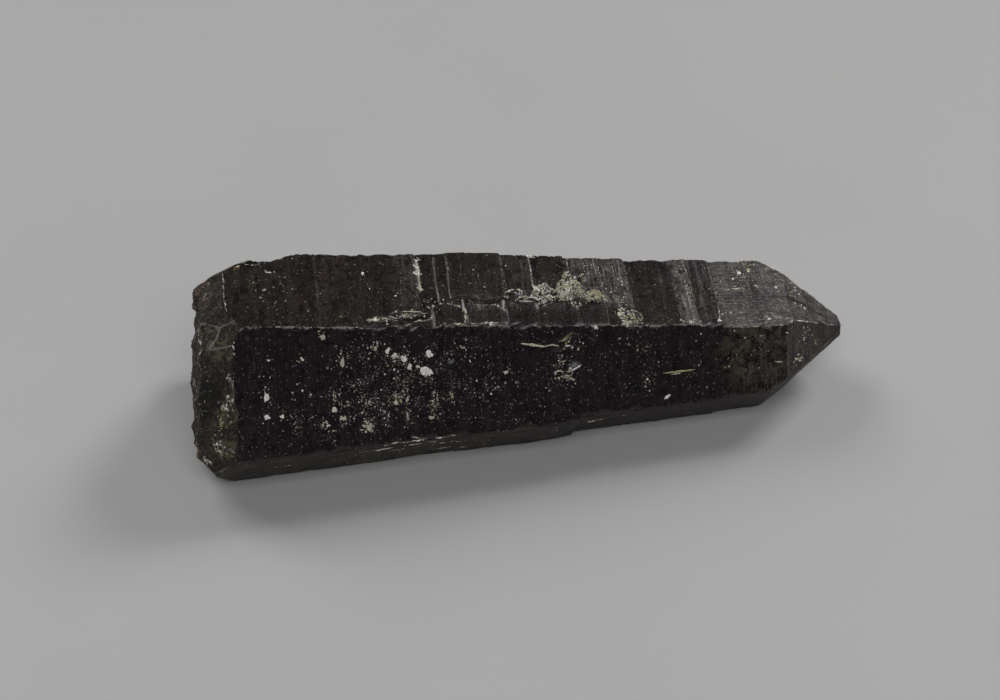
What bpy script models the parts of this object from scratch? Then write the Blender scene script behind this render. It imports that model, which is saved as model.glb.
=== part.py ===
"""A morion (black smoky quartz) crystal: one tapering six-sided prism with a pointed end and a broken end.

The crystal is one solid. It is built as rings of points round its long axis. A ring is the outline of the
section there, which is what six face planes leave of each other, and each face then gets its relief: growth
steps, raised plates, pits, crust and a scar. The last rings close the broken end.
Lengths are millimetres until the mesh is made, which turns them to metres.

A place on the crystal is given by two lengths:
    from_tip    along the long axis, from the blunt tip
    across      on one face, square to the long axis, from the foot of the face's own perpendicular
The long axis leans down towards the tip, because the crystal lies on one of its tapering faces.
"""

import bpy
import bmesh
import numpy as np

MM = 0.001

# The six faces in order round the axis. angle: which way the face looks, in degrees, seen from the broken end
# with 90 straight up and 180 to the front. distance: from the axis, where the face would pass the tip.
# taper: how much further out it is for each millimetre of from_tip. end_distance and end_slope: the same two
# for the end face beyond it. In quartz an end slope is near 0.79, from 38.2 degrees between the two normals.
# The end distances are not nought, so the end faces meet in a blunt little table and not in a point.
FACES = (
    # name, angle, distance, taper, end_distance, end_slope
    ("back_upper", 30, 10.66, 0.038, 1.65, 0.68),
    ("top", 90, 7.58, 0.083, 0.95, 0.71),
    ("front_upper", 150, 10.35, 0.0645, 1.40, 0.82),
    ("front_lower", 210, 11.80, 0.085, 1.80, 0.77),
    ("bottom", 270, 9.34, 0.0515, 1.20, 0.83),
    ("back_lower", 330, 10.70, 0.045, 0.80, 0.79),
)
NAMES = [face[0] for face in FACES]
ANGLES = np.radians([face[1] for face in FACES])
DISTANCES, TAPERS, END_DISTANCES, END_SLOPES = np.array([face[2:] for face in FACES]).T
OUTWARD = np.stack([np.cos(ANGLES), np.sin(ANGLES)], axis=1)
SIDEWAYS = np.stack([-np.sin(ANGLES), np.cos(ANGLES)], axis=1)
BOTTOM = NAMES.index("bottom")
TIP_CHIP = 0.4

# Growth steps that run round the faces: from_tip, then the height of the face above its plane on the tip's
# side of the step and on the root's side. Between two steps the height runs evenly from one to the other.
GROWTH_STEPS = {
    "top": (
        (16.0, -0.10, -0.15),
        (22.9, -0.40, -0.02),
        (26.9, -0.15, 0.15),
        (29.6, 0.12, 0.0),
        (37.6, -0.30, -0.08),
        (42.2, -0.25, 0.08),
        (47.5, -0.02, 0.32),
        (54.1, 0.25, 0.55),
        (59.0, 0.42, 0.62),
        (68.2, 0.72, 0.42),
        (70.4, 0.18, 0.02),
        (73.5, -0.35, 0.0),
        (90.3, -0.08, 0.02),
        (94.7, -0.04, 0.04),
    ),
    "front_upper": (
        (26.9, 0.0, -0.06),
        (37.6, -0.25, -0.16),
        (47.5, 0.16, 0.24),
        (54.1, 0.16, 0.08),
        (59.0, -0.12, -0.20),
        (68.2, -0.12, -0.08),
    ),
    "front_lower": (
        (14.5, -0.45, -0.45),
        (22.9, -0.42, -0.20),
        (42.2, -0.50, -0.45),
        (47.5, -0.40, 0.15),
        (54.1, 0.45, 0.50),
        (68.2, 0.15, -0.10),
        (90.3, 0.10, 0.0),
    ),
    "bottom": ((18.0, -0.35, 0.0), (98.0, 0.0, -0.35)),
    "back_lower": (
        (16.0, 0.0, 0.12),
        (26.9, -0.12, 0.20),
        (42.2, -0.10, 0.30),
        (59.0, 0.0, 0.35),
        (73.5, -0.15, 0.25),
        (90.3, 0.0, 0.10),
    ),
    "back_upper": (
        (16.0, 0.0, 0.10),
        (22.9, -0.10, 0.15),
        (37.6, -0.20, 0.15),
        (47.5, -0.05, 0.30),
        (59.0, 0.10, 0.35),
        (70.4, 0.0, 0.25),
        (90.3, -0.10, 0.0),
    ),
}
RISER = 0.35
FIRST_SLOPE = 4.0
# Growth lines sway this far from a plain section: turns round the crystal, radians per millimetre, phase.
GROWTH_SWAY, SWAY_BEGINS = 0.25, 15.0
SWAY_WAVES = ((1, 0.31, 0.0), (4, 0.17, 2.0), (9, 0.9, 1.0))

# Ridges between faces are chipped: how deep and how far from the ridge at most, the length of a chip, and the
# share of a ridge that is whole.
CHIP_DEPTH, CHIP_REACH, CHIP_LENGTH, CHIP_SEED = 0.5, 0.75, 1.4, 3
WHOLE_SHARE = 0.65

# A slab has split off the upper back face beside the broken end: from_tip where the split begins and where it
# has its whole depth, and that depth.
SPLIT_BEGINS, SPLIT_WHOLE, SPLIT_DEPTH = 93.0, 98.0, 1.5

# Raised plates along the front ridge of the top face: from_tip of the gaps at their ends and between them.
PLATE_GAPS = (39.6, 59.4, 66.2, 71.8)
PLATE_WIDTH, PLATE_HEIGHT, PLATE_FLANK = 5.7, 0.32, 0.7
CREVICE_DEPTH = 0.35

# Pits: middle (from_tip, across), half sizes, depth. The last one on the top is a notch in its back ridge.
PITS = {
    "top": (((75.6, 7.3), (4.2, 1.2), 0.55), ((100.2, -6.6), (1.9, 1.0), 0.80)),
    "front_upper": (((69.3, -1.6), (1.3, 1.2), 0.30), ((94.2, 8.6), (1.1, 1.9), 0.20)),
    "back_upper": (((66.0, 1.5), (3.2, 1.9), 0.35), ((31.5, -2.0), (1.6, 1.1), 0.25)),
    "back_lower": (((82.0, -1.0), (4.0, 2.2), 0.40), ((50.5, 2.5), (1.8, 1.2), 0.25)),
}

# Lumps of crumbly crust grown on the top face: middle (from_tip, across), half sizes, height. Their grains
# cover a rectangle with this middle and these half sizes. Steepness says how soon a lump has its full height.
CRUST_LUMPS = (
    ((49.0, 0.3), (3.8, 3.1), 0.85),
    ((44.6, 2.0), (2.4, 1.7), 0.65),
    ((55.5, 2.2), (4.6, 1.0), 0.45),
    ((38.5, 6.0), (2.2, 1.5), 0.40),
)
CRUST_STEEPNESS = 1.6
CRUST_MIDDLE, CRUST_HALF = (48.0, 3.0), (13.0, 6.0)
CRUST_GRAIN, CRUST_SEED, CRUST_ROUGHNESS = 1.3, 5, 0.45

# A hollow with a raised, broken rim on the front face, where a smaller crystal has come away. The rim reaches
# further than the hollow by the spread, and both are broken by chips of this size.
SCAR_MIDDLE, SCAR_HALF, SCAR_DEPTH = (49.6, -0.6), (2.8, 4.8), 0.32
SCAR_RIM_HEIGHT, SCAR_RIM_SPREAD = 0.18, 1.35
SCAR_CHIP, SCAR_SEED, SCAR_ROUGHNESS = 1.9, 8, 0.5

# The top end face stands proud behind a crease that runs to the tip: its two ends (from_tip, across), height.
CREASE_ROOT, CREASE_TIP, CREASE_HEIGHT, CREASE_WIDTH = (16.0, 1.6), (1.0, 1.0), 0.25, 0.6

# The break is the lowest of several slanting chips and a flat heart. A chip has the direction in which it
# lies from the axis, its from_tip at the very edge of the section there, and its gain per millimetre inwards.
# The heart has its from_tip on the axis and its gain per millimetre to the back and upwards. All of it is
# broken by smaller chips, of this size and depth, over a rectangle with these half sizes.
BREAK_CHIPS = (
    # angle, from_tip at the edge, gain
    (30, 104.0, 0.9),
    (45, 98.2, 2.2),
    (90, 105.4, 1.1),
    (120, 102.8, 1.15),
    (150, 104.3, 1.3),
    (180, 104.2, 1.2),
    (240, 104.5, 1.15),
    (300, 108.0, 0.8),
    (345, 107.5, 0.6),
)
BREAK_HEART, BREAK_LEAN = 110.3, (0.0, -0.08)
BREAK_CHIP, BREAK_HALF, BREAK_SEED, BREAK_ROUGHNESS = 3.6, (20.0, 18.0), 12, 1.2
# Rings before BREAK_BEGINS are plain sections. From there they bend to the rim of the break, which is looked
# up on the section at BREAK_SECTION, and then shrink over the break towards BREAK_CENTRE.
BREAK_BEGINS, BREAK_SECTION = 92.0, 105.0
BREAK_CENTRE = np.array([-2.0, 0.5])
BREAK_RINGS = 11

# How many points stand along each side of a ring, and the widest and narrowest gap between two rings.
SIDE_POINTS = {
    "back_upper": 14,
    "top": 28,
    "front_upper": 24,
    "front_lower": 9,
    "bottom": 7,
    "back_lower": 12,
}
LONGEST_GAP, SHORTEST_GAP = 1.1, 0.2
FLATNESS = np.radians(0.4)


def smooth_step(value):
    """0 below 0, 1 above 1, and an even S between."""
    value = np.clip(value, 0, 1)
    return value * value * (3 - 2 * value)


def oval(first, second, middle, half, steepness=1.0):
    """1 inside an oval and 0 outside it, with a smooth flank inside its edge."""
    spread = ((first - middle[0]) / half[0]) ** 2 + ((second - middle[1]) / half[1]) ** 2
    return smooth_step(steepness * (1 - spread))


def scoops(points, size, seed, half, middle=(0.0, 0.0)):
    """Shell-like hollows with sharp ridges between, about -0.5 to 0.5: the lowest of many seeded bowls.

    There is one bowl for each square of size, near its middle, over a rectangle with these half sizes.
    """
    random = np.random.default_rng(seed)
    squares = [np.arange(-reach, reach + size, size) for reach in half]
    middles = np.stack(np.meshgrid(*squares), axis=-1).reshape(-1, 2) + middle
    middles += random.uniform(-0.4, 0.4, middles.shape) * size
    depths = random.uniform(-0.6, 0.0, len(middles))
    distances = ((points[..., None, :] - middles) ** 2).sum(axis=-1)
    return (depths + 1.2 * distances / size**2).min(axis=-1) + 0.15


def growth(name, place):
    """Height of a face above its plane, from its growth steps. It dies away before the first of them."""
    steps = np.array(GROWTH_STEPS[name])
    edges = np.stack([steps[:, 0] - RISER / 2, steps[:, 0] + RISER / 2], axis=1)
    edges = np.concatenate([[edges[0, 0] - FIRST_SLOPE], edges.ravel()])
    return np.interp(place, edges, [0.0, *steps[:, 1:].ravel()])


def swayed(place, around):
    """from_tip of a growth line's point. around counts the sides of the section that it has passed."""
    waves = [np.sin(turns * np.pi * around / 3 + rate * place + phase) for turns, rate, phase in SWAY_WAVES]
    middle_stretch = smooth_step((place - SWAY_BEGINS) / 6) * smooth_step((BREAK_BEGINS - place) / 6)
    return place + GROWTH_SWAY * sum(waves) / len(waves) * middle_stretch


def chipping(from_tip, to_corner, corner_side):
    """Depth of the chips along a ridge, named by the side it starts: deepest on the ridge itself."""
    random = np.random.default_rng([CHIP_SEED, corner_side])
    draws = random.random(int(BREAK_HEART / CHIP_LENGTH) + 2)
    depths = CHIP_DEPTH * np.maximum(draws - WHOLE_SHARE, 0) / (1 - WHOLE_SHARE)
    depth = np.interp(from_tip, CHIP_LENGTH * np.arange(len(depths)), depths)
    return depth * np.clip(1 - to_corner / CHIP_REACH, 0, 1)


def plates(from_tip, to_ridge):
    """The raised plates, with a crevice behind them and a gap between each two."""
    first, last = min(PLATE_GAPS), max(PLATE_GAPS)
    along = smooth_step((from_tip - first) / PLATE_FLANK) * smooth_step((last - from_tip) / PLATE_FLANK)
    height = PLATE_HEIGHT * along * smooth_step((PLATE_WIDTH - to_ridge) / PLATE_FLANK + 0.5)
    crevice = along * np.clip(1 - np.abs(to_ridge - PLATE_WIDTH) / PLATE_FLANK, 0, 1)
    for gap in PLATE_GAPS[1:-1]:
        between = np.clip(1 - np.abs(from_tip - gap) / PLATE_FLANK, 0, 1) * (to_ridge < PLATE_WIDTH)
        crevice = np.maximum(crevice, between)
    return height - CREVICE_DEPTH * crevice


def crust(from_tip, across):
    """Lumps of crust with a broken, grainy top."""
    height = np.zeros_like(across)
    for middle, half, rise in CRUST_LUMPS:
        height = np.maximum(height, rise * oval(from_tip, across, middle, half, CRUST_STEEPNESS))
    places = np.stack(np.broadcast_arrays(from_tip, across), axis=-1)
    grain = -scoops(places, CRUST_GRAIN, CRUST_SEED, CRUST_HALF, CRUST_MIDDLE)
    return height + CRUST_ROUGHNESS * grain * np.clip(2 * height, 0, 1)


def crease(from_tip, across):
    """The step along a line from the top face to the tip: proud behind it, flat in front."""
    share = (from_tip - CREASE_TIP[0]) / (CREASE_ROOT[0] - CREASE_TIP[0])
    line = CREASE_TIP[1] + share * (CREASE_ROOT[1] - CREASE_TIP[1])
    fade = smooth_step(share * 4) * smooth_step((1.1 - share) * 4)
    return CREASE_HEIGHT * fade * smooth_step((line - across) / CREASE_WIDTH)


def scar(from_tip, across):
    """A shallow hollow inside a low rim, both broken into small shell-like chips."""
    rim_half = [SCAR_RIM_SPREAD * size for size in SCAR_HALF]
    inside = oval(from_tip, across, SCAR_MIDDLE, SCAR_HALF)
    rim = oval(from_tip, across, SCAR_MIDDLE, rim_half)
    places = np.stack(np.broadcast_arrays(from_tip, across), axis=-1)
    broken = SCAR_ROUGHNESS * scoops(places, SCAR_CHIP, SCAR_SEED, rim_half, SCAR_MIDDLE)
    return (SCAR_RIM_HEIGHT + broken) * rim - (SCAR_DEPTH + SCAR_RIM_HEIGHT) * inside


def relief(side, place, from_tip, points, corners):
    """Height of one face above its plane, at points of the section whose corners start the sides."""
    name = NAMES[side]
    across = points @ SIDEWAYS[side]
    to_start = across - corners[side] @ SIDEWAYS[side]
    to_end = corners[(side + 1) % len(FACES)] @ SIDEWAYS[side] - across
    height = growth(name, place)
    height = height - chipping(from_tip, to_start, side)
    height = height - chipping(from_tip, to_end, (side + 1) % len(FACES))
    for middle, half, depth in PITS.get(name, ()):
        height = height - depth * oval(from_tip, across, middle, half)
    if name == "top":
        height = height + plates(from_tip, to_end) + crust(from_tip, across) + crease(from_tip, across)
    if name == "front_upper":
        height = height + scar(from_tip, across)
    if name == "back_upper":
        height = height - SPLIT_DEPTH * smooth_step((from_tip - SPLIT_BEGINS) / (SPLIT_WHOLE - SPLIT_BEGINS))
    return height


def face_distances(from_tip):
    """Distance of the six faces from the axis: the prism face or its end face, whichever is nearer."""
    places = np.asarray(from_tip)[None]
    shape = (-1,) + (1,) * (places.ndim - 1)
    prism = DISTANCES.reshape(shape) + TAPERS.reshape(shape) * places
    ends = END_DISTANCES.reshape(shape) + END_SLOPES.reshape(shape) * places
    return np.minimum(prism, ends)


def crossing(side, heights):
    """The point at these heights over two faces, the one before a side and the side itself."""
    both = np.linalg.inv(OUTWARD[[side - 1, side]])
    return np.moveaxis(np.tensordot(both, heights, axes=1), 0, -1)


def corner(side, from_tip):
    """Where the section turns on to a side from the one before it."""
    distances = face_distances(from_tip)
    return crossing(side, distances[[side - 1, side]])


def section_points(place, side, share):
    """The surface as a function of two parameters: place, a growth line, and share, the way along one side.

    A point stands on its side's straight line and moves out by the face's relief there. A corner moves so
    that it follows the relief of both its faces, and the points beside it move sideways with it, which dies
    away quickly from the corner.
    """
    from_tip = swayed(place, side + share)
    corners = [corner(number, from_tip) for number in range(len(FACES))]
    after = (side + 1) % len(FACES)
    point = corners[side] + share * (corners[after] - corners[side])
    slide = 0
    for number, nearness in ((side, (1 - share) ** 4), (after, share**4)):
        before = relief((number - 1) % len(FACES), place, from_tip, corners[number], corners)
        beyond = relief(number, place, from_tip, corners[number], corners)
        slide = slide + nearness * (crossing(number, np.stack([before, beyond])) @ SIDEWAYS[side])
    outward = relief(side, place, from_tip, point, corners)
    return point + outward[..., None] * OUTWARD[side] + slide[..., None] * SIDEWAYS[side], from_tip


def break_surface(points):
    """from_tip of the break over the section: the lowest chip, roughened by small shell-like hollows."""
    surface = BREAK_HEART + points @ np.array(BREAK_LEAN)
    outline = np.array([corner(side, BREAK_SECTION) for side in range(len(FACES))])
    for angle, at_edge, gain in BREAK_CHIPS:
        direction = np.array([np.cos(np.radians(angle)), np.sin(np.radians(angle))])
        inwards = (outline @ direction).max() - points @ direction
        surface = np.minimum(surface, at_edge + gain * np.maximum(inwards, 0))
    return surface + BREAK_ROUGHNESS * scoops(points, BREAK_CHIP, BREAK_SEED, BREAK_HALF)


def stations():
    """from_tip of each ring before the break: the edges of each step, where end faces end, and infill."""
    steps = {step[0] for steps in GROWTH_STEPS.values() for step in steps}
    marks = [place + side * RISER / 2 for place in steps for side in (-1, 1)]
    marks += list((DISTANCES - END_DISTANCES) / (END_SLOPES - TAPERS))
    places = [0.0]
    for place in sorted(mark for mark in marks if mark < BREAK_BEGINS) + [BREAK_BEGINS]:
        if place - places[-1] < SHORTEST_GAP:
            continue
        pieces = int(np.ceil((place - places[-1]) / LONGEST_GAP))
        places += list(np.linspace(places[-1], place, pieces + 1)[1:])
    return np.array(places)


def column(places, side, share):
    """One line of points from the tip along a side and on over the break to near its centre."""
    rim = break_surface(section_points(np.array([BREAK_SECTION]), side, share)[0])
    last_rings = int(np.ceil((BREAK_SECTION - BREAK_BEGINS) / LONGEST_GAP))
    to_rim = np.linspace(BREAK_BEGINS, rim[0], last_rings + 1)[1:]
    outside, from_tip = section_points(np.concatenate([places, to_rim]), side, share)
    sizes = np.linspace(1, 0, BREAK_RINGS + 1)[1:-1, None]
    inside = BREAK_CENTRE + sizes * (outside[-1] - BREAK_CENTRE)
    return np.concatenate([outside, inside]), np.concatenate([from_tip, break_surface(inside)])


def crystal_grid():
    """Every ring of the crystal: its points in the section and their from_tip."""
    places = stations()
    columns = [
        column(places, side, place / SIDE_POINTS[name])
        for side, name in enumerate(NAMES)
        for place in range(SIDE_POINTS[name])
    ]
    sections, depths = zip(*columns)
    return np.stack(sections, axis=1), np.stack(depths, axis=1)


def to_world(section, from_tip):
    """Section points to metres in the part's frame: tip towards +X, top face up, bottom on the ground."""
    lean = np.arctan(TAPERS[BOTTOM])
    x = section[..., 1] * np.sin(lean) - from_tip * np.cos(lean)
    z = section[..., 1] * np.cos(lean) + from_tip * np.sin(lean) + DISTANCES[BOTTOM] * np.cos(lean)
    points = np.stack([x, section[..., 0], z], axis=-1)
    middle = (points.min(axis=0) + points.max(axis=0)) / 2
    return (points - [middle[0], middle[1], 0]) * MM


def crystal_mesh():
    """Rings joined by quads, with a fan at each end. Flat neighbours are joined before triangulation."""
    section, from_tip = crystal_grid()
    rings, round_count = from_tip.shape
    ends = np.array([BREAK_CENTRE, section[0].mean(axis=0)])
    end_places = [break_surface(BREAK_CENTRE), -TIP_CHIP]
    points = to_world(
        np.concatenate([section.reshape(-1, 2), ends]), np.concatenate([from_tip.ravel(), end_places])
    )
    bm = bmesh.new()
    verts = [bm.verts.new(point) for point in points]
    last = (rings - 1) * round_count
    for place in range(round_count):
        after = (place + 1) % round_count
        for ring in range(0, last, round_count):
            bm.faces.new([verts[ring + n] for n in (place, after, after + round_count, place + round_count)])
        bm.faces.new([verts[last + place], verts[last + after], verts[-2]])
        bm.faces.new([verts[after], verts[place], verts[-1]])
    bmesh.ops.recalc_face_normals(bm, faces=bm.faces)
    bmesh.ops.dissolve_limit(bm, angle_limit=FLATNESS, verts=bm.verts, edges=bm.edges)
    bmesh.ops.triangulate(bm, faces=bm.faces)
    mesh = bpy.data.meshes.new("crystal")
    bm.to_mesh(mesh)
    bm.free()
    return mesh


def morion_material():
    """Nearly opaque black-brown quartz with the glassy lustre of its faces."""
    material = bpy.data.materials.new("morion quartz")
    material.use_nodes = True
    shader = material.node_tree.nodes["Principled BSDF"]
    shader.inputs["Base Color"].default_value = (0.020, 0.017, 0.014, 1.0)
    shader.inputs["Roughness"].default_value = 0.32
    shader.inputs["Metallic"].default_value = 0.0
    shader.inputs["IOR"].default_value = 1.544
    return material


def main():
    for old in list(bpy.data.objects):
        bpy.data.objects.remove(old, do_unlink=True)
    crystal = bpy.data.objects.new("crystal", crystal_mesh())
    crystal.data.materials.append(morion_material())
    bpy.context.scene.collection.objects.link(crystal)


main()
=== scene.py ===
"""Looks of the morion crystal: its skin with growth lines, pits and crust, the minerals on it, and a stage.

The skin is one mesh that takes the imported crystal's place. It has the same faces, growth steps and break with
finer relief on them, but flatter steps beside the plates, a more ragged crust, and a lump on the break.
A place on the crystal is given by two lengths in millimetres:
    from_tip    along the long axis, from the blunt tip
    across      on one face, square to the long axis, from the foot of the face's own perpendicular
On the broken end a place is a point of the section instead: to the back, and upwards, from the axis.
"""

import bpy
import numpy as np
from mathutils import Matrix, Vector


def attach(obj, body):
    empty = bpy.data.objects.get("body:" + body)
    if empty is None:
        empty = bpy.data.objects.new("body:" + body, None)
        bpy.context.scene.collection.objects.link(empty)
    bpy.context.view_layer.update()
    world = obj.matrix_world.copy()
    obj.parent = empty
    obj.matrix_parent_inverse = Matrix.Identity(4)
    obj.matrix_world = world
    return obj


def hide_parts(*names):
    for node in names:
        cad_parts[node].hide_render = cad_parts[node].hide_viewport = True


bl_info = {
    "name": "Morion Crystal",
    "version": (1, 0, 0),
    "blender": (4, 5, 0),
    "location": "3D View > Sidebar > Morion",
    "description": "Dresses the packed crystal with its skin and mineral crumbs, and sets a plain stage",
    "category": "Add Mesh",
}

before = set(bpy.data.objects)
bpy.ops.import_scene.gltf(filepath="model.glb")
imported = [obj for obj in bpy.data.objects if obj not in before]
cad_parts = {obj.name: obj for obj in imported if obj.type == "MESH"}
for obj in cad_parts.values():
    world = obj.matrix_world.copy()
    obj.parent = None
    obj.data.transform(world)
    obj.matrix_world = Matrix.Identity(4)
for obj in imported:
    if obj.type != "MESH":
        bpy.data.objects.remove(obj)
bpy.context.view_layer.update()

MM = 0.001
BODY, NODE, SLOT = "root", "crystal", "morion_quartz"

# The six faces in order round the axis. angle: which way the face looks, in degrees, seen from the broken end
# with 90 straight up and 180 to the front. distance: from the axis, where the face would pass the tip.
# taper: how much further out it is for each millimetre of from_tip. end_distance and end_slope: the same two
# for the end face beyond it. In quartz an end slope is near 0.79, from 38.2 degrees between the two normals.
# The end distances are not nought, so the end faces meet in a blunt little table and not in a point.
FACES = (
    # name, angle, distance, taper, end_distance, end_slope
    ("back_upper", 30, 10.66, 0.038, 1.65, 0.68),
    ("top", 90, 7.58, 0.083, 0.95, 0.71),
    ("front_upper", 150, 10.35, 0.0645, 1.40, 0.82),
    ("front_lower", 210, 11.80, 0.085, 1.80, 0.77),
    ("bottom", 270, 9.34, 0.0515, 1.20, 0.83),
    ("back_lower", 330, 10.70, 0.045, 0.80, 0.79),
)
NAMES = [face[0] for face in FACES]
ANGLES = np.radians([face[1] for face in FACES])
DISTANCES, TAPERS, END_DISTANCES, END_SLOPES = np.array([face[2:] for face in FACES]).T
OUTWARD = np.stack([np.cos(ANGLES), np.sin(ANGLES)], axis=1)
SIDEWAYS = np.stack([-np.sin(ANGLES), np.cos(ANGLES)], axis=1)
BOTTOM = NAMES.index("bottom")
# The middle of the blunt little table at the tip stands out by this much.
TIP_CHIP = 0.4

# Growth steps that run round the faces: from_tip, then the height of the face above its plane on the tip's
# side of the step and on the root's side. Between two steps the height runs evenly from one to the other.
GROWTH_STEPS = {
    "top": (
        (16.0, -0.10, -0.15), (22.9, -0.40, -0.02), (26.9, -0.15, 0.15), (29.6, 0.12, 0.0),
        (37.6, -0.30, -0.08), (42.2, -0.25, 0.08), (47.5, -0.02, 0.32), (54.1, 0.25, 0.55),
        (59.0, 0.42, 0.62), (68.2, 0.72, 0.42), (70.4, 0.18, 0.02), (73.5, -0.35, 0.0), (90.3, -0.08, 0.02),
        (94.7, -0.04, 0.04),
    ),
    "front_upper": (
        (26.9, 0.0, -0.06), (37.6, -0.25, -0.16), (47.5, 0.16, 0.24), (54.1, 0.16, 0.08), (59.0, 0.0, 0.10),
        (68.2, 0.10, -0.08),
    ),
    "front_lower": (
        (14.5, -0.45, -0.45), (22.9, -0.42, -0.20), (42.2, -0.50, -0.45), (47.5, -0.40, 0.15),
        (54.1, 0.45, 0.50), (68.2, 0.15, -0.10), (90.3, 0.10, 0.0),
    ),
    "bottom": ((18.0, -0.35, 0.0), (98.0, 0.0, -0.35)),
    "back_lower": (
        (16.0, 0.0, 0.12), (26.9, -0.12, 0.20), (42.2, -0.10, 0.30), (59.0, 0.0, 0.35), (73.5, -0.15, 0.25),
        (90.3, 0.0, 0.10),
    ),
    "back_upper": (
        (16.0, 0.0, 0.10), (22.9, -0.10, 0.15), (37.6, -0.20, 0.15), (47.5, -0.05, 0.30),
        (59.0, 0.30, 0.60), (70.4, 0.40, 0.45), (90.3, -0.05, 0.0),
    ),
}
# The length over which a step rises, and over which the growth dies away before the first step.
RISER, FIRST_SLOPE = 0.35, 4.0
# The top face's steps keep only this share of their height near its front ridge, as far as the first distance
# from it, and have all of it beyond the second. The plates there keep at least PLATE_SHARE of theirs.
RIDGE_SHARE, RIDGE_FLAT, RIDGE_WHOLE, PLATE_SHARE = 0.1, 3.2, 7.2, 0.55
# Growth lines sway this far from a plain section, from one from_tip on, and wholly the fade after it. The
# waves: turns round the crystal, radians per millimetre, phase.
GROWTH_SWAY, SWAY_BEGINS, SWAY_FADE = 0.25, 15.0, 6.0
SWAY_WAVES = ((1, 0.31, 0.0), (4, 0.17, 2.0), (9, 0.9, 1.0))

# Ridges between faces are chipped: how deep and how far from the ridge at most, the length of a chip, and the
# share of a ridge that is whole.
CHIP_DEPTH, CHIP_REACH, CHIP_LENGTH, CHIP_SEED = 0.3, 0.55, 1.4, 3
WHOLE_SHARE = 0.65

# A slab has split off the upper back face beside the broken end: from_tip where the split begins and where it
# has its whole depth, and that depth.
SPLIT_BEGINS, SPLIT_WHOLE, SPLIT_DEPTH = 93.0, 98.0, 1.5

# Raised plates along the front ridge of the top face: from_tip of the gaps at their ends and between them.
# Their back edge sways by PLATE_SWAY over PLATE_SWAY_SIZE. A crevice reaches this far from its middle.
PLATE_GAPS = (39.6, 59.4, 66.2, 71.8)
PLATE_WIDTH, PLATE_HEIGHT, PLATE_FLANK = 5.7, 0.28, 0.35
PLATE_SWAY, PLATE_SWAY_SIZE, PLATE_SEED = 0.5, 3.5, 57
CREVICE_DEPTH, CREVICE_REACH = 0.35, 0.32

# Pits: middle (from_tip, across), half sizes, depth. The last one on the top is a notch in its back ridge.
PITS = {
    "top": (((75.6, 7.3), (4.2, 1.2), 0.55), ((100.2, -6.6), (1.9, 1.0), 0.80)),
    "front_upper": (((69.3, -1.6), (1.3, 1.2), 0.30), ((94.2, 8.6), (1.1, 1.9), 0.20)),
    "back_upper": (((66.0, 1.5), (3.2, 1.9), 0.35), ((31.5, -2.0), (1.6, 1.1), 0.25)),
    "back_lower": (((82.0, -1.0), (4.0, 2.2), 0.40), ((50.5, 2.5), (1.8, 1.2), 0.25)),
}

# Lumps of crumbly crust grown on the top face: middle (from_tip, across), half sizes, height. Their chips
# cover a rectangle with this middle and these half sizes. Steepness says how soon a lump has its full height.
CRUST_LUMPS = (
    ((48.2, 0.0), (3.0, 3.0), 0.85),
    ((51.4, 1.6), (2.6, 1.4), 0.45),
    ((44.6, 2.0), (2.4, 1.7), 0.65),
    ((55.5, 2.4), (4.6, 0.8), 0.35),
    ((38.5, 6.0), (2.2, 1.5), 0.30),
)
CRUST_STEEPNESS = 1.6
CRUST_MIDDLE, CRUST_HALF = (48.0, 3.0), (13.0, 6.0)
CRUST_CHIP, CRUST_SEED, CRUST_ROUGHNESS = 1.3, 5, 0.45
# A lump's outline is moved about by up to CRUST_RAGGED, over CRUST_RAG_SIZE.
CRUST_RAGGED, CRUST_RAG_SIZE = 1.5, 1.3
# How much of each lump shows mineral grains, in patches of this size; the rest is bare quartz. The grains
# reach a little beyond the lump, and their edge is steeper than its flank.
CRUST_GRAININESS, CRUST_PATCH = (0.95, 0.7, 0.85, 0.35, 0.25), 1.1
GRAINS_REACH, GRAINS_STEEPNESS = 1.1, 3.0

# A hollow with a raised, broken rim on the front face, where a smaller crystal has come away. The rim reaches
# further than the hollow by the spread, and both are broken by chips of this size.
SCAR_MIDDLE, SCAR_HALF, SCAR_DEPTH = (49.6, -0.6), (2.8, 4.8), 0.32
SCAR_RIM_HEIGHT, SCAR_RIM_SPREAD = 0.18, 1.35
SCAR_CHIP, SCAR_SEED, SCAR_ROUGHNESS = 1.9, 8, 0.5

# The top end face stands proud behind a crease that runs to the tip: its two ends (from_tip, across), height.
CREASE_ROOT, CREASE_TIP, CREASE_HEIGHT, CREASE_WIDTH = (16.0, 1.6), (1.0, 1.0), 0.25, 0.6

# The break is the lowest of several slanting chips and a flat heart. A chip has the direction in which it
# lies from the axis, its from_tip at the very edge of the section there, and its gain per millimetre inwards.
# The heart has its from_tip on the axis and its gain per millimetre to the back and upwards. All of it is
# broken by smaller chips, of this size and depth, over a rectangle with these half sizes.
BREAK_CHIPS = (
    # angle, from_tip at the edge, gain
    (30, 104.0, 0.9),
    (45, 98.2, 2.2),
    (90, 105.4, 1.1),
    (120, 102.8, 1.15),
    (150, 104.3, 1.3),
    (180, 104.2, 1.2),
    (240, 104.5, 1.15),
    (300, 108.0, 0.8),
    (345, 107.5, 0.6),
)
BREAK_HEART, BREAK_LEAN = 110.3, (0.0, -0.08)
BREAK_CHIP, BREAK_HALF, BREAK_SEED, BREAK_ROUGHNESS = 3.6, (20.0, 18.0), 12, 0.8
# Rings before BREAK_BEGINS are plain sections. From there they bend to the rim of the break, which is looked
# up on the section at BREAK_SECTION, and then shrink over the break towards BREAK_CENTRE.
BREAK_BEGINS, BREAK_SECTION = 92.0, 105.0
BREAK_CENTRE = np.array([-2.0, 0.5])

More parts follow.
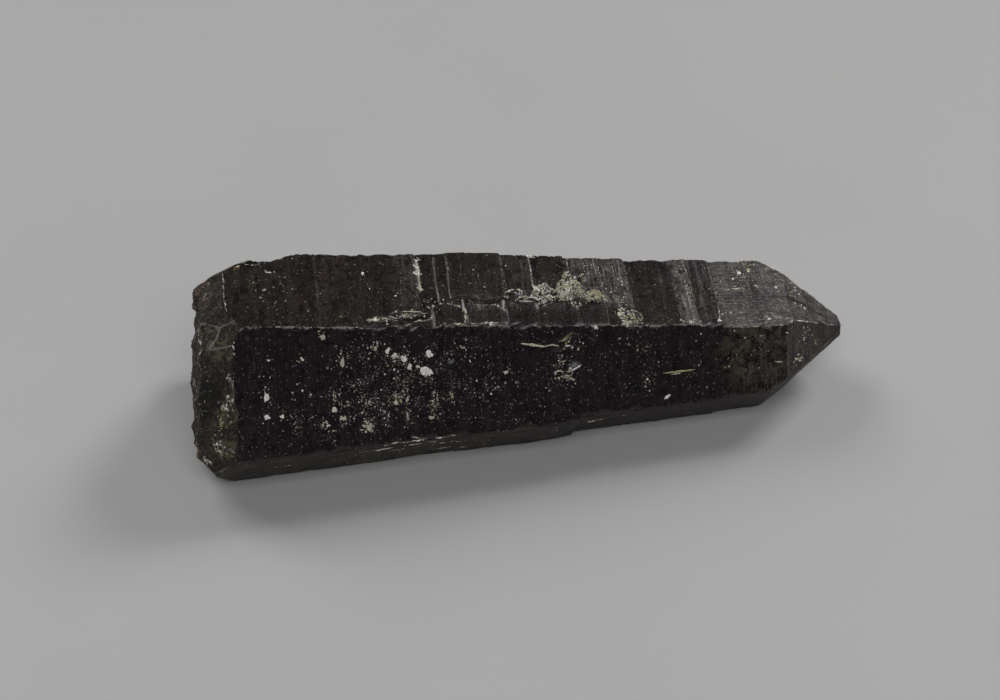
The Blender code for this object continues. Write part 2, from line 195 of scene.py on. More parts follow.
# Finer relief than the solid's. Strips are fine growth steps: how many, their widths, how far they stand up,
# the length over which one rises, and the size of the patches over which they come and go.
STRIPS, STRIP_WIDTHS, STRIP_HEIGHT, STRIP_RISER, STRIP_PATCH, STRIP_SEED = 90, (0.5, 2.4), 0.05, 0.2, 5.0, 21
# Waves are shallow dents of these sizes and depths.
WAVE_SIZES, WAVE_DEPTHS, WAVE_SEED = (4.5, 1.3), (0.05, 0.02), 31
FINE_CHIP, FINE_CHIP_DEPTH, FINE_CHIP_REACH = 0.40, 0.16, 0.32
FINE_CRUST, FINE_CRUST_DEPTH, FINE_CRUST_SEED = 0.5, 0.22, 45
# Hollows in the break, the size of the patches over which they come and go, and grit between them.
FINE_BREAK, FINE_BREAK_DEPTH, FINE_BREAK_PATCH, FINE_BREAK_SEED = 1.4, 0.36, 3.3, 44
BREAK_GRIT, BREAK_GRIT_DEPTH, BREAK_GRIT_SEED = 0.6, 0.12, 48
# A lump left standing high on the break: middle and half sizes in the section, and height.
BREAK_LUMP_MIDDLE, BREAK_LUMP_HALF, BREAK_LUMP_HEIGHT = (3.2, 10.6), (2.7, 3.1), 0.9
# Etch pits near the tip, over a rectangle with this middle and these half sizes: size, depth, the from_tip
# where they end, and the length over which they fade.
ETCH_SIZE, ETCH_DEPTH, ETCH_ENDS, ETCH_FADE, ETCH_SEED = 0.9, 0.07, 25.0, 6.0, 46
ETCH_MIDDLE, ETCH_HALF = (13.0, 0.0), (26.0, 18.0)
# This much is added to from_tip for each side in patterns that all sides share, so that no two are alike.
SIDE_SHIFT = 40.0

# The skin's grid: columns along each side of a ring, the widest and the least gap between rings, the rings to
# the rim of the break and over the break, and the angle past which an edge is sharp.
SKIN_COLUMNS = dict(zip(NAMES, (28, 62, 56, 18, 11, 21)))
SKIN_GAP, SKIN_LEAST_GAP = 0.27, 0.09
RIM_RINGS, BREAK_RINGS = 46, 64
EDGE_ANGLE = np.radians(38)

# Where on the ramp of mineral tones each kind of crumb takes its colour.
TONES = {
    "orange": 0.0,
    "umber": 0.20,
    "brown": 0.32,
    "olive": 0.43,
    "yellow": 0.54,
    "grey": 0.66,
    "cream": 0.84,
    "white": 0.97,
}

# Where the middle of the solid's box lies from the blunt tip on the axis, in mm: towards +X, and to the back.
ORIGIN = (-56.05, -2.498)
# A place well inside the crystal, as from_tip on the axis, and the step by which a surface's slope is taken.
HEART, NEXT_PLACE = 60.0, 0.25

# The skin's masks, each an attribute of its points, from 0 to 1.
MASKS = (
    "brown",  # brown-black instead of purple-black
    "frost",
    "stain",  # by the crumbs of a mineral line
    "crust",
    "fracture",
    "worn",
    "streaky",  # along the crystal
    "dusty",
    "olive",
    "rosy",
    # painted shade: black in the crevices behind the plates, on the crease's line, in a pit and in a valley of
    # the break, with a few darker patches
    "hollow",  # darker
)
# The stain of a mineral line spreads by STAIN_SPREAD of the line's own width and STAIN_LEAST. It is whole up
# to STAIN_CORE - 1 of that, and gone at STAIN_CORE of it.
STAIN_CORE, STAIN_SPREAD, STAIN_LEAST = 1.4, 0.5, 0.1
# How streaked each face is along the crystal, and how much its tip is.
FACE_STREAKS = {"front_lower": 0.8, "back_lower": 0.35}
TIP_STREAKS = {"top": 0.5, "back_upper": 0.4, "back_lower": 0.4}
# Where a face is brown-black, and not purple-black: the from_tip where that begins, the length over which it
# becomes whole (a minus sign turns it towards the tip), how much clouds move it, and their size.
BROWN_FACES = {
    "top": (-27.0, 90.0, 0.5, 5.0),
    "front_lower": (50.0, 20.0, 0.3, 3.0),
    "back_lower": (50.0, 20.0, 0.3, 3.0),
    "front_upper": (26.0, -12.0, 0.3, 3.0),
}
BROWN_SEED = 58
# The frosted tip begins here and is whole this much nearer to the tip, on most faces and on single ones.
TIP_BEGINS, TIP_FADE, TIP_FADES = 23.5, 12.0, {"top": 1.5}
# Paler bands between growth steps: face, from_tip from and to, across from and to, amount, and the length
# over which a band fades out on the root's side. On the tip's side and sideways it fades over BAND_FADE.
BAND_FADE = (0.5, 1.5)
BANDS = (
    ("top", 22.9, 26.9, -9, 9, 0.14, 0.5),
    ("top", 26.9, 29.9, -9, 9, 0.82, 0.5),
    ("top", 37.6, 42.2, -9, 4, 0.55, 3.0),
    ("top", 42.2, 47.5, -9, 3, 0.55, 4.0),
    ("top", 54.0, 57.0, -9, 4, 0.20, 4.0),
    ("top", 59.4, 66.0, 4, 10, 0.10, 1.0),
    ("top", 73.5, 76.0, -9, 5, 0.25, 6.0),
)
# How frosted each face is between the tip and its last growth step.
TIP_FROST = {"back_upper": 0.5, "top": 0.78, "front_lower": 0.3, "bottom": 0.3, "back_lower": 0.4}
# Patches of one colour on each face: mask, middle, half sizes, amount. Those on the break have steeper edges.
PATCHES = {
    "break": (
        ("rosy", (1.5, 11.8), (5.0, 3.6), 1.0),
        ("rosy", (-15.5, -6.5), (3.0, 3.0), 1.0),
        ("olive", (-1.0, 7.0), (6.0, 4.5), 1.0),
        ("olive", (-9.5, 12.0), (4.0, 2.5), 1.0),
        ("olive", (-16.5, 3.5), (1.8, 4.0), 1.0),
        ("olive", (-19.0, -2.5), (2.2, 2.5), 1.0),
        # painted shade in the valley beside the break's crest
        ("hollow", (-12.5, 1.5), (3.4, 6.0), 0.75),
        ("olive", (8.0, -3.0), (7.0, 6.0), 1.0),
    ),
    "front_upper": (
        ("olive", (19.5, 0.5), (5.5, 7.0), 0.60),
        ("olive", (10.0, 3.0), (8.5, 10.0), 0.30),
        ("frost", (14.0, 1.0), (9.0, 13.0), 0.18),
        ("hollow", (7.5, 2.0), (6.0, 8.0), 0.22),
    ),
    "top": (
        ("frost", (11.5, -7.0), (7.0, 2.6), 0.95),
        ("frost", (11.0, -3.5), (5.0, 2.6), 1.0),
        ("frost", (20.5, 5.0), (3.0, 2.4), 0.9),
        # darker patches near the tip
        ("hollow", (18.0, -2.8), (3.4, 1.5), 0.45),
        ("hollow", (19.5, 1.2), (3.6, 1.5), 0.40),
        ("hollow", (9.5, 1.4), (3.0, 0.9), 0.35),
        # painted shade in the large pit of the top face
        ("hollow", (75.6, 7.2), (4.0, 0.9), 0.8),
        # painted shade that dims the band of plates along the front ridge
        ("hollow", (51.0, 6.5), (12.0, 4.0), 0.45),
        ("hollow", (63.0, 6.5), (5.0, 4.0), 0.30),
    ),
    "front_lower": (
        ("olive", (76.0, 0.0), (14.0, 5.0), 0.5),
    ),
    "back_upper": (
        ("fracture", (96.0, 0.0), (4.0, 14.0), 1.0),
    ),
}
# How worn each ridge is, in the order of the faces that they start, how far from it, the length of the worn
# spots, and how far apart the ridges lie in the pattern of the spots.
RIDGE_WEAR, WORN_REACH, WORN_SPOT, WORN_SEED = (0.7, 0.7, 1.0, 0.25, 0.2, 0.3), 0.20, 1.1, 59
WORN_SHIFT = 9.0
# The ridges between the break's hollows are worn in patches of this size. The width of a ridge between large
# hollows, as a difference of two bowls, and how worn it is, and the same for one between fine hollows.
BREAK_WORN_PATCH = 2.0
LARGE_RIDGES, FINE_RIDGES = (0.20, 1.0), (0.40, 0.75)

# The area in mm2 that one crumb of a mineral line covers, and the length of the line's clumps. Crumbs are at
# most CRUMB_WIDEST or as wide as the line, times a share from the range and the line's swell there, and stray
# by SEAM_SPREAD of its width, less what the crumbs themselves take, but at least by SEAM_LEAST.
CRUMB_AREA, CLUMP_SIZE, CRUMB_WIDEST, CRUMB_SHARES = 0.05, 0.9, 0.5, (0.35, 1.1)
SEAM_SPREAD, SEAM_TAKEN, SEAM_LEAST = 0.5, 0.15, 0.04
SEAM_SEED, GRAIN_SEED, FLAKE_SEED, DUST_SEED = 51, 52, 53, 54
# A crumb's least width as a share of its length, and how far its middle stands above the face as a share of
# half its height. Tones stray from their own by this much: those of drawn crumbs, of lines, and of flakes.
CRUMB_NARROWEST, CRUMB_LIFT = 0.4, 0.3
TONE_SPREAD, SEAM_TONE_SPREAD, FLAKE_TONE_SPREAD = 0.02, 0.06, 0.05
# Grains of the crust: how many places are tried for each, their least size as a share of the largest, and how
# flat and how tilted they are. They are whiter on the root's side of CRUST_TURN, give or take its spread, and
# yellower on the tip's side.
GRAIN_TRIES, GRAIN_LEAST, GRAIN_FLATNESS, GRAIN_TILT = 40, 0.25, 0.8, 0.6
CRUST_TURN, CRUST_TURN_SPREAD = 47.0, 0.8
WHITER_GRAINS = ("white", "white", "cream", "cream", "grey", "grey", "yellow", "brown", "umber")
YELLOWER_GRAINS = ("cream", "cream", "cream", "yellow", "yellow", "olive", "grey", "brown", "umber")
DUST_TONES = ("umber",) * 3 + ("brown",) * 8 + ("grey",) * 4 + ("white",) * 2
# Dust lies in patches of this size, where a smooth random value is above DUST_LEAST, give or take its spread.
# It keeps this margin from the ridges and stays between two values of from_tip. Its least size is a share of
# the largest, and a random share to the power DUST_RARITY makes large specks rare.
DUST_PATCH, DUST_LEAST, DUST_SPREAD = 1.7, 0.35, 0.25
DUST_MARGIN, DUST_FROM_TIP, DUST_LEAST_SIZE, DUST_RARITY, DUST_FLATNESS = 0.2, (3, 103), 0.2, 4, 0.3
# Where dust lies: face, middle, half sizes, and how much compared with the others. The skin is dusty there by
# DUST_MASK of that, falling away from the middle as a bell curve whose exponent is DUST_FALL.
DUST_MASK, DUST_FALL = 0.25, 0.7
DUST_FIELDS = (
    ("front_upper", (79.0, 3.0), (13.0, 9.0), 3.0),
    ("front_upper", (62.0, 2.0), (30.0, 9.0), 1.8),
    ("front_upper", (96.0, 3.0), (8.0, 12.0), 0.6),
    ("front_upper", (22.0, 1.0), (14.0, 7.0), 0.6),
    ("top", (96.0, 0.0), (8.0, 9.0), 0.15),
    ("top", (60.0, 1.0), (24.0, 9.0), 0.6),
    ("top", (14.0, -1.0), (8.0, 7.0), 0.4),
    ("front_lower", (70.0, -1.0), (35.0, 6.0), 1.0),
    ("back_upper", (60.0, 0.0), (45.0, 9.0), 1.6),
    ("back_lower", (60.0, 0.0), (45.0, 8.0), 1.0),
)
# Colours that a user doesn't change, in sRGB.
COLOURS = {
    "black": "#060505",
    "brown_grey": "#332c26",
    "purple_grey": "#2a2125",
    "brown_pale": "#474037",
    "purple_pale": "#42383d",
    "frost_brown": "#4b443d",
    "frost_purple": "#615b5f",
    "fleck": "#8b8681",
    "grain_pale": "#443f3b",
    "streak": "#574f43",
    "fracture_dark": "#120f0b",
    "fracture_olive": "#3a342a",
    "olive_light": "#514b3a",
    "rosy_brown": "#54443a",
    "worn_edge": "#8d8a84",
    "crust_brown": "#3f382b",
    "cream_stain": "#a39e8c",
    "speck": "#a9a6a3",
    "orange": "#a5763c",
    "umber": "#241f17",
    "brown": "#5a544b",
    "olive": "#6f6b44",
    "yellow": "#b3ae7c",
    "grey": "#9f9d9b",
    "crumb_shadow": "#3b352a",
}

# Soft lights: name, place, width and height in metres, power in watts, colour.
LIGHTS = (
    ("softbox_back_right", (0.85, 0.62, 1.0), 0.5, 0.45, 8.4, "#ffffff"),
    ("softbox_back_left", (-0.70, 0.80, 1.0), 0.7, 0.6, 6.6, "#ffffff"),
    ("softbox_front", (0.0, -0.75, 1.15), 1.0, 0.6, 7.0, "#ffffff"),
)
LIGHT_AIM = (0.0, 0.0, 0.0)
ROOM_COLOUR, ROOM_LIGHT = "#e4e5ea", 0.10
TABLE_CLOUD = "#a9a8a9"
MINERAL = "feldspar and bruised quartz"

# The camera: its place in metres, its direction in degrees, and its lens and sensor in millimetres.
CAMERA_PLACE = (-0.03715, -0.28090, 0.29580)
CAMERA_AZIMUTH, CAMERA_ELEVATION = -6.874, 45.0
CAMERA_LENS, CAMERA_SENSOR = 85.0, 36.0

# Lines of mineral crumbs on each face: tone, width, cover, and the line's points (from_tip, across). Across
# ON_RIDGE or -ON_RIDGE is on a ridge that ends the face. Cover is the share of the line that crumbs cover.
ON_RIDGE = 20
SEAMS = {
    "top": (
        ("white", 0.20, 1.0, ((105.5, -3.0), (105.5, 3.5), (105.2, 6.5))),
        ("orange", 0.45, 1.0, ((104.0, -4.5), (103.0, -5.0))),
        ("cream", 0.55, 1.0, ((103.2, -5.2), (101.0, -6.3))),
        ("white", 0.65, 1.2, ((73.2, -6.6), (73.2, -3.0))),
        ("cream", 0.50, 1.1, ((73.2, -3.0), (73.2, 0.5))),
        ("cream", 0.20, 0.8, ((73.0, 0.5), (74.0, 1.5), (73.5, 3.0))),
        ("cream", 0.17, 0.5, ((70.4, -7.5), (70.4, 0.0))),
        ("cream", 0.22, 0.8, ((70.4, 1.5), (70.4, 3.0))),
        ("cream", 0.17, 0.5, ((68.1, -7.5), (68.1, -1.0), (69.5, 0.0))),
        ("olive", 0.60, 0.5, ((68.5, -8.0), (65.0, -8.0))),
        ("cream", 0.25, 0.8, ((70.5, 3.5), (68.5, 4.5), (67.0, 5.0))),
        ("cream", 0.40, 0.9, ((66.3, 5.0), (66.3, 7.5), (66.7, 9.0), (69.0, 9.0))),
        ("cream", 0.22, 0.8, ((65.0, 4.5), (61.0, 4.5), (59.0, 6.0))),
        ("white", 0.25, 0.9, ((66.0, 9.0), (61.0, 8.5))),
        ("white", 0.40, 1.0, ((62.5, 9.0), (61.5, 9.0))),
        ("cream", 0.20, 0.6, ((59.0, -7.5), (59.0, 2.5))),
        ("cream", 0.26, 1.0, ((54.1, -7.5), (54.1, -4.0), (54.2, -0.5))),
        ("white", 0.45, 1.0, ((54.0, -7.5), (53.0, -7.5))),
        ("white", 0.80, 1.2, ((54.1, -0.3), (53.7, 0.3))),
        ("cream", 0.22, 0.7, ((47.5, -7.5), (47.5, -3.0))),
        ("white", 0.35, 1.0, ((48.0, -7.5), (47.0, -7.5))),
        ("white", 0.22, 0.7, ((42.2, -7.5), (42.2, -2.0), (42.5, 3.5))),
        ("cream", 0.17, 0.5, ((39.7, -7.0), (39.8, 2.5))),
        ("grey", 0.16, 0.6, ((38.6, -6.5), (38.7, 1.0))),
        ("grey", 0.16, 0.6, ((41.0, -7.0), (41.0, 0.0))),
        ("grey", 0.14, 0.4, ((49.0, -7.0), (49.0, -4.0))),
        ("grey", 0.16, 0.5, ((9.0, -3.0), (14.0, -3.2))),
        ("grey", 0.16, 0.5, ((16.0, 3.4), (10.0, 3.0))),
        ("cream", 0.20, 0.7, ((37.6, -7.0), (37.8, -2.0), (38.0, 2.5))),
        ("cream", 0.24, 0.8, ((27.4, -7.5), (26.9, -3.0), (27.0, 0.5), (26.6, 2.5))),
        ("white", 0.22, 0.9, ((22.9, -7.0), (22.8, -2.5), (22.9, 3.5), (23.3, 7.0))),
        ("white", 0.45, 1.0, ((23.3, 6.5), (23.4, 7.2))),
        ("cream", 0.20, 0.8, ((23.2, 7.0), (21.8, 6.5))),
        ("white", 0.30, 1.0, ((46.6, -3.0), (46.8, -0.5), (47.5, 1.0))),
        ("cream", 0.60, 0.9, ((48.0, 2.5), (53.0, 2.5))),
        ("cream", 0.35, 0.8, ((53.0, 2.5), (56.5, 2.5))),
        ("white", 0.24, 1.0, ((39.2, 5.2), (38.0, 4.9), (36.8, 5.4), (36.4, 6.3), (36.9, 7.2))),
        ("cream", 0.70, 0.9, ((39.5, 8.0), (37.5, 7.7))),
        ("cream", 0.70, 0.6, ((40.2, 4.7), (39.7, 6.8))),
        ("white", 0.55, 1.2, ((82.5, 8.0), (81.0, 8.0))),
        ("cream", 0.50, 1.1, ((80.0, 7.5), (79.0, 7.7))),
        ("cream", 0.20, 0.7, ((76.5, 6.0), (72.5, 6.0))),
        ("white", 0.40, 1.0, ((76.5, 6.6), (75.5, 6.6))),
        ("cream", 0.24, 0.8, ((72.0, 7.0), (74.0, 7.5), (75.5, 9.0), (77.0, 9.5), (82.5, 9.5))),
        ("cream", 0.15, 0.5, ((87.0, 9.0), (83.5, 9.0))),
        ("cream", 0.18, 0.8, ((87.5, 7.5), (86.0, 7.2))),
        ("white", 0.22, 0.4, ((102.5, ON_RIDGE), (83.5, ON_RIDGE))),
        ("cream", 0.24, 0.4, ((72.5, ON_RIDGE), (66.0, ON_RIDGE))),
        ("cream", 0.22, 0.4, ((61.0, ON_RIDGE), (26.5, ON_RIDGE))),
        ("cream", 0.26, 0.7, ((20.0, ON_RIDGE), (1.5, ON_RIDGE))),
        ("white", 0.35, 1.0, ((11.0, ON_RIDGE), (8.0, ON_RIDGE))),
        ("white", 0.45, 0.8, ((17.0, -ON_RIDGE), (11.0, -ON_RIDGE))),
        ("cream", 0.40, 0.7, ((11.0, -ON_RIDGE), (4.0, -ON_RIDGE))),
        ("cream", 0.17, 0.35, ((15.5, 2.0), (12.5, 2.5), (8.0, 2.0), (4.0, 2.0), (1.0, 1.0))),
        ("grey", 0.80, 0.6, ((9.5, -3.0), (8.0, -4.0))),
    ),
    "break": (
        ("white", 0.20, 0.8, ((1.5, 14.0), (-1.5, 13.0))),
        ("yellow", 0.90, 0.3, ((-15.8, 4.5), (-16.6, 2.5))),
        ("yellow", 0.90, 0.3, ((-18.8, -2.5), (-19.6, -3.2))),
        ("grey", 0.80, 0.3, ((2.0, -4.0), (-3.0, -8.0))),
        ("grey", 1.00, 0.25, ((-17.0, -7.0), (-17.5, -10.5))),
        ("cream", 0.50, 0.22, ((-14.0, 9.0), (-16.5, 3.0), (-18.5, -2.0), (-17.5, -8.0))),
        ("white", 0.34, 0.8, ((1.0, 7.0), (-4.0, 7.0), (-8.0, 11.0))),
    ),
    "front_upper": (
        ("cream", 0.17, 0.5, ((104.0, -4.5), (104.5, -1.5), (105.0, 2.0))),
        ("grey", 0.14, 0.6, ((105.0, 1.8), (101.0, 2.2))),
        ("grey", 0.16, 0.7, ((104.8, 7.0), (103.6, 9.5), (102.4, 13.0))),
        ("yellow", 0.60, 0.8, ((107.0, 5.0), (107.0, 7.5))),
        ("white", 0.45, 1.0, ((45.5, -5.5), (44.5, -5.0))),
        ("cream", 0.24, 0.8, ((49.5, 3.0), (48.5, 3.5))),
        ("cream", 0.24, 0.8, ((51.0, 4.0), (50.3, 4.6))),
        ("cream", 0.20, 0.5, ((47.0, 1.5), (44.0, 1.5))),
        ("cream", 0.24, 0.9, ((76.0, 11.5), (73.5, 12.0))),
        ("cream", 0.40, 0.7, ((10.5, 3.5), (8.5, 3.0))),
        ("cream", 0.24, 0.8, ((13.5, 3.0), (12.5, 3.0))),
        ("brown", 0.20, 0.5, ((70.0, -2.5), (69.0, -1.0), (70.0, 0.0), (71.0, -1.5), (70.0, -2.5))),
        ("brown", 0.15, 0.5, ((61.5, 10.5), (59.0, 9.5), (60.5, 8.0), (61.5, 10.5))),
    ),
    "front_lower": (
        ("white", 0.32, 0.9, ((80.5, -ON_RIDGE), (68.5, -ON_RIDGE))),
        ("white", 0.34, 1.2, ((84.5, -4.6), (72.0, -4.8))),
        ("cream", 0.26, 0.9, ((79.5, -2.6), (66.5, -3.0))),
        ("cream", 0.26, 0.8, ((72.0, 1.5), (61.0, 1.0))),
        ("cream", 0.28, 0.8, ((98.5, -2.0), (94.5, -2.0))),
        ("brown", 0.30, 0.6, ((94.0, 0.0), (85.0, -0.5))),
        ("brown", 0.30, 0.6, ((66.0, -5.0), (53.0, -5.0))),
        ("yellow", 0.30, 1.0, ((46.0, -2.0), (43.5, -2.0))),
        ("cream", 0.24, 0.8, ((40.5, -3.0), (38.5, -3.0))),
        ("brown", 0.24, 0.6, ((35.0, 0.0), (31.0, 0.0))),
    ),
}
# Thin splinters lying on a face: face, tone, width, and points (from_tip, across) from end to end.
SPLINTERS = (
    ("front_upper", "cream", 0.42, ((57.5, -3.25), (56.0, -2.9), (54.6, -2.65), (53.2, -2.4))),
    ("front_upper", "cream", 0.24, ((53.4, -2.5), (52.2, -2.7), (51.0, -2.4))),
    ("front_upper", "olive", 0.40, ((51.2, -3.0), (49.9, -3.8), (48.6, -4.6))),
    ("front_upper", "cream", 0.26, ((50.6, -3.1), (49.4, -3.9))),
    ("front_upper", "white", 0.30, ((50.1, -2.3), (49.0, -2.3))),
    ("front_upper", "cream", 0.26, ((51.9, 1.9), (51.1, 1.8), (50.2, 2.1))),
    ("front_upper", "white", 0.30, ((49.9, 2.1), (48.9, 1.9), (48.0, 1.4), (47.3, 1.0))),
    ("front_upper", "cream", 0.22, ((49.4, 3.1), (48.6, 3.6))),
    ("front_upper", "yellow", 0.34, ((33.2, 3.6), (31.2, 3.5), (29.4, 3.4), (27.7, 3.3))),
    ("front_upper", "cream", 0.20, ((31.9, 3.9), (30.2, 3.8))),
    ("front_upper", "white", 0.50, ((33.1, 8.2), (32.6, 7.9), (32.0, 7.5))),
    ("front_upper", "cream", 0.20, ((13.9, 2.9), (12.6, 2.95))),
    ("top", "cream", 0.24, ((57.4, 3.3), (55.8, 3.45), (54.2, 3.4))),
    ("top", "white", 0.34, ((55.5, 3.0), (54.1, 3.1), (52.8, 2.9))),
    ("top", "cream", 0.18, ((76.8, 6.0), (74.6, 6.05), (72.3, 5.9))),
)
# A splinter's height as a share of its width, its rings and the points round a ring, and how jagged it is.
SPLINTER_HEIGHT, SPLINTER_RINGS, SPLINTER_AROUND, SPLINTER_JAG = 0.7, 11, 6, 0.25

# Clusters of crumbs round a place on each face: tones, middle, half sizes, and how many crumbs.
BRIGHT = ("white", "cream", "cream", "grey", "grey", "yellow", "brown")
FAINT = ("brown", "brown", "brown", "brown", "grey", "grey", "cream")
CLUSTERS = {
    "front_upper": (
        (FAINT, (94.5, 8.5), (0.9, 1.4), 40),
        (BRIGHT, (90.5, 8.5), (1.5, 1.2), 50),
        (BRIGHT, (88.5, 4.0), (1.2, 1.6), 34),
        (BRIGHT, (87.0, 8.0), (1.5, 1.2), 24),
        (FAINT, (86.5, 5.5), (1.2, 1.0), 24),
        (FAINT, (85.5, -3.5), (3.0, 2.0), 40),
        (BRIGHT, (83.5, 5.5), (1.2, 2.2), 80),
        (BRIGHT, (83.0, 9.0), (1.2, 1.3), 100),
        (BRIGHT, (82.0, -4.0), (1.5, 1.2), 22),
        (BRIGHT, (78.0, 4.5), (1.4, 1.4), 80),
        (BRIGHT, (77.5, -2.0), (3.0, 1.4), 60),
        (FAINT, (76.5, 8.0), (0.8, 2.0), 60),
        (BRIGHT, (72.0, 5.5), (0.9, 2.4), 80),
        (BRIGHT, (67.5, -2.5), (2.4, 2.6), 34),
        (FAINT, (67.0, 3.0), (4.0, 5.0), 60),
        (BRIGHT, (61.0, 3.0), (3.0, 3.0), 26),
        (BRIGHT, (49.5, 3.0), (1.8, 1.6), 60),
        (BRIGHT, (49.0, -3.0), (1.8, 1.8), 36),
        (BRIGHT, (50.5, 0.0), (1.8, 1.6), 30),
        (FAINT, (38.0, -1.0), (4.0, 3.0), 44),
        (FAINT, (35.5, 5.0), (2.0, 3.0), 36),
        (FAINT, (17.5, 1.5), (2.6, 5.0), 50),
        (BRIGHT, (9.5, 3.0), (1.2, 1.2), 40),
        (BRIGHT, (7.8, -1.0), (1.0, 1.2), 26),
        (BRIGHT, (5.4, 1.0), (0.6, 1.0), 12),
        (FAINT, (9.0, 1.0), (5.0, 5.0), 60),
    ),
    "break": (
        (FAINT, (-17.0, 2.0), (2.5, 5.0), 50),
        (BRIGHT, (-16.3, 4.0), (0.9, 1.4), 26),
        (BRIGHT, (-19.4, -2.8), (1.0, 1.2), 24),
        (BRIGHT, (-5.0, 4.0), (1.6, 2.2), 14),
    ),
    "front_lower": (
        (BRIGHT, (44.5, -2.0), (1.8, 0.8), 30),
    ),
    "top": (
        (FAINT, (98.0, 2.0), (4.0, 4.0), 24),
        (BRIGHT, (101.0, -6.5), (2.0, 0.8), 16),
        (BRIGHT, (80.5, 8.0), (2.6, 0.8), 60),
        (BRIGHT, (76.5, 6.5), (3.2, 0.9), 44),
        (BRIGHT, (71.5, 4.5), (2.4, 2.2), 44),
        (BRIGHT, (44.0, -4.0), (2.0, 3.0), 20),
        (BRIGHT, (39.5, 2.0), (1.6, 6.0), 70),
        (BRIGHT, (38.5, 7.0), (2.0, 1.2), 50),
        (BRIGHT, (29.0, 7.5), (3.4, 0.9), 34),
        (BRIGHT, (27.6, -1.0), (0.8, 6.0), 50),
        (FAINT, (24.5, 0.0), (2.0, 7.0), 50),
        (BRIGHT, (17.5, -4.5), (2.4, 2.0), 34),
        (BRIGHT, (16.0, -6.5), (1.4, 0.8), 24),
        (BRIGHT, (18.7, -1.0), (1.6, 0.5), 20),
        (BRIGHT, (11.0, -1.5), (1.2, 0.5), 14),
        (BRIGHT, (8.2, -2.0), (1.5, 1.5), 34),
        (BRIGHT, (7.3, 1.5), (1.0, 0.6), 20),
        (FAINT, (19.0, 4.0), (3.5, 3.0), 40),
    ),
}
# Crumbs stray from a cluster's middle by CLUSTER_SPREAD of its half sizes. Their sizes run from the first
# number to the sum of both, and a random share to the power RARITY makes large ones rare.
CLUSTER_SPREAD, CLUSTER_SIZES, RARITY, CLUSTER_SEED = 0.45, (0.12, 0.42), 2.5, 55
# Crumbs round each flake: how many, their sizes, and how far out they lie in flake widths.
SATELLITES, SATELLITE_SIZES, SATELLITE_REACH = 6, (0.12, 0.32), (0.70, 1.45)
# Grains standing out of the broken end: how many, their sizes as above, how near they come to its rim and
# gather there, and how flat and how tilted they are.
BREAK_GRAINS, BREAK_GRAIN_SIZES, BREAK_GRAIN_SEED = 800, (0.18, 0.45), 56
BREAK_GRAIN_REACH, BREAK_GRAIN_GATHER, BREAK_GRAIN_FLATNESS, BREAK_GRAIN_TILT = 0.84, 0.4, 0.3, 0.15
BREAK_TONES = ("umber",) * 4 + ("brown",) * 5 + ("olive",) * 2 + ("grey",) * 2 + ("cream",)

# Larger bruised flakes by face and tone: from_tip, across, length along the crystal and width across it.
FLAKES = {
    ("front_upper", "white"): (
        (73.5, 0.5, 2.4, 1.4), (72.5, -2.5, 1.0, 1.4), (77.0, -2.0, 1.2, 1.0), (78.5, -2.5, 0.8, 0.9),
        (79.5, -3.5, 0.8, 0.9), (76.0, -0.5, 0.9, 1.2), (93.5, -3.0, 0.6, 0.7), (99.5, 3.0, 0.8, 2.0),
        (97.0, 6.5, 0.7, 0.7), (99.5, 6.5, 1.0, 0.8), (83.0, 9.5, 0.9, 0.9),
    ),
    ("front_upper", "cream"): (
        (74.6, -0.4, 1.0, 0.7), (87.0, -2.0, 0.8, 1.4), (90.0, -6.5, 0.7, 1.0), (88.5, 6.0, 0.8, 0.9),
        (87.0, 7.5, 1.1, 0.8), (76.5, 5.0, 0.8, 0.9), (78.5, 5.5, 0.8, 0.9), (72.5, 8.5, 1.0, 0.6),
        (60.0, 1.5, 0.6, 0.7),
    ),
    ("front_upper", "grey"): (
        (81.5, -4.0, 0.5, 0.9), (69.0, 5.0, 0.4, 1.2), (76.5, 8.0, 0.5, 1.6),
    ),
    ("top", "white"): (
        (82.5, -3.0, 0.5, 0.8), (17.7, -5.0, 1.1, 0.6), (14.7, 6.5, 0.7, 0.6),
    ),
    ("top", "cream"): (
        (98.0, -3.5, 1.2, 0.3), (28.5, 7.5, 0.5, 0.8), (19.0, -1.0, 1.2, 0.35), (12.0, -1.0, 0.5, 0.8),
    ),
    ("top", "yellow"): (
        (16.0, -5.5, 0.8, 0.8), (9.5, -0.5, 0.7, 0.8), (9.0, 1.5, 0.7, 0.7),
    ),
    ("break", "white"): (
        (-9.0, 9.5, 0.4, 0.7), (-12.0, 13.5, 0.8, 1.1),
    ),
}

# Flakes are turned by up to this angle in radians, and are rounder and more jagged than crumbs.
FLAKE_SPIN = 0.4
FLAKE_SHAPE = {"rings": 4, "around": 9, "lumpiness": 0.2, "jagged": 0.42}


def smooth_step(value):
    """0 below 0, 1 above 1, and an even S between."""
    value = np.clip(value, 0, 1)
    return value * value * (3 - 2 * value)


def oval(first, second, middle, half, steepness=1.0):
    """1 inside an oval and 0 outside it, with a smooth flank inside its edge."""
    spread = ((first - middle[0]) / half[0]) ** 2 + ((second - middle[1]) / half[1]) ** 2
    return smooth_step(steepness * (1 - spread))


def drift(first, second, size, seed):
    """Smooth random values from -1 to 1: a lattice of random numbers of this size, blended by S curves."""
    lattice = np.random.default_rng(seed).uniform(-1, 1, (128, 128))
    across, along = np.asarray(first) / size, np.asarray(second) / size
    column, row = np.floor(across).astype(int), np.floor(along).astype(int)
    blend, lift = smooth_step(across - column), smooth_step(along - row)
    corners = [lattice[(column + i) % 128, (row + j) % 128] for i in (0, 1) for j in (0, 1)]
    near = corners[0] + lift * (corners[1] - corners[0])
    far = corners[2] + lift * (corners[3] - corners[2])
    return near + blend * (far - near)


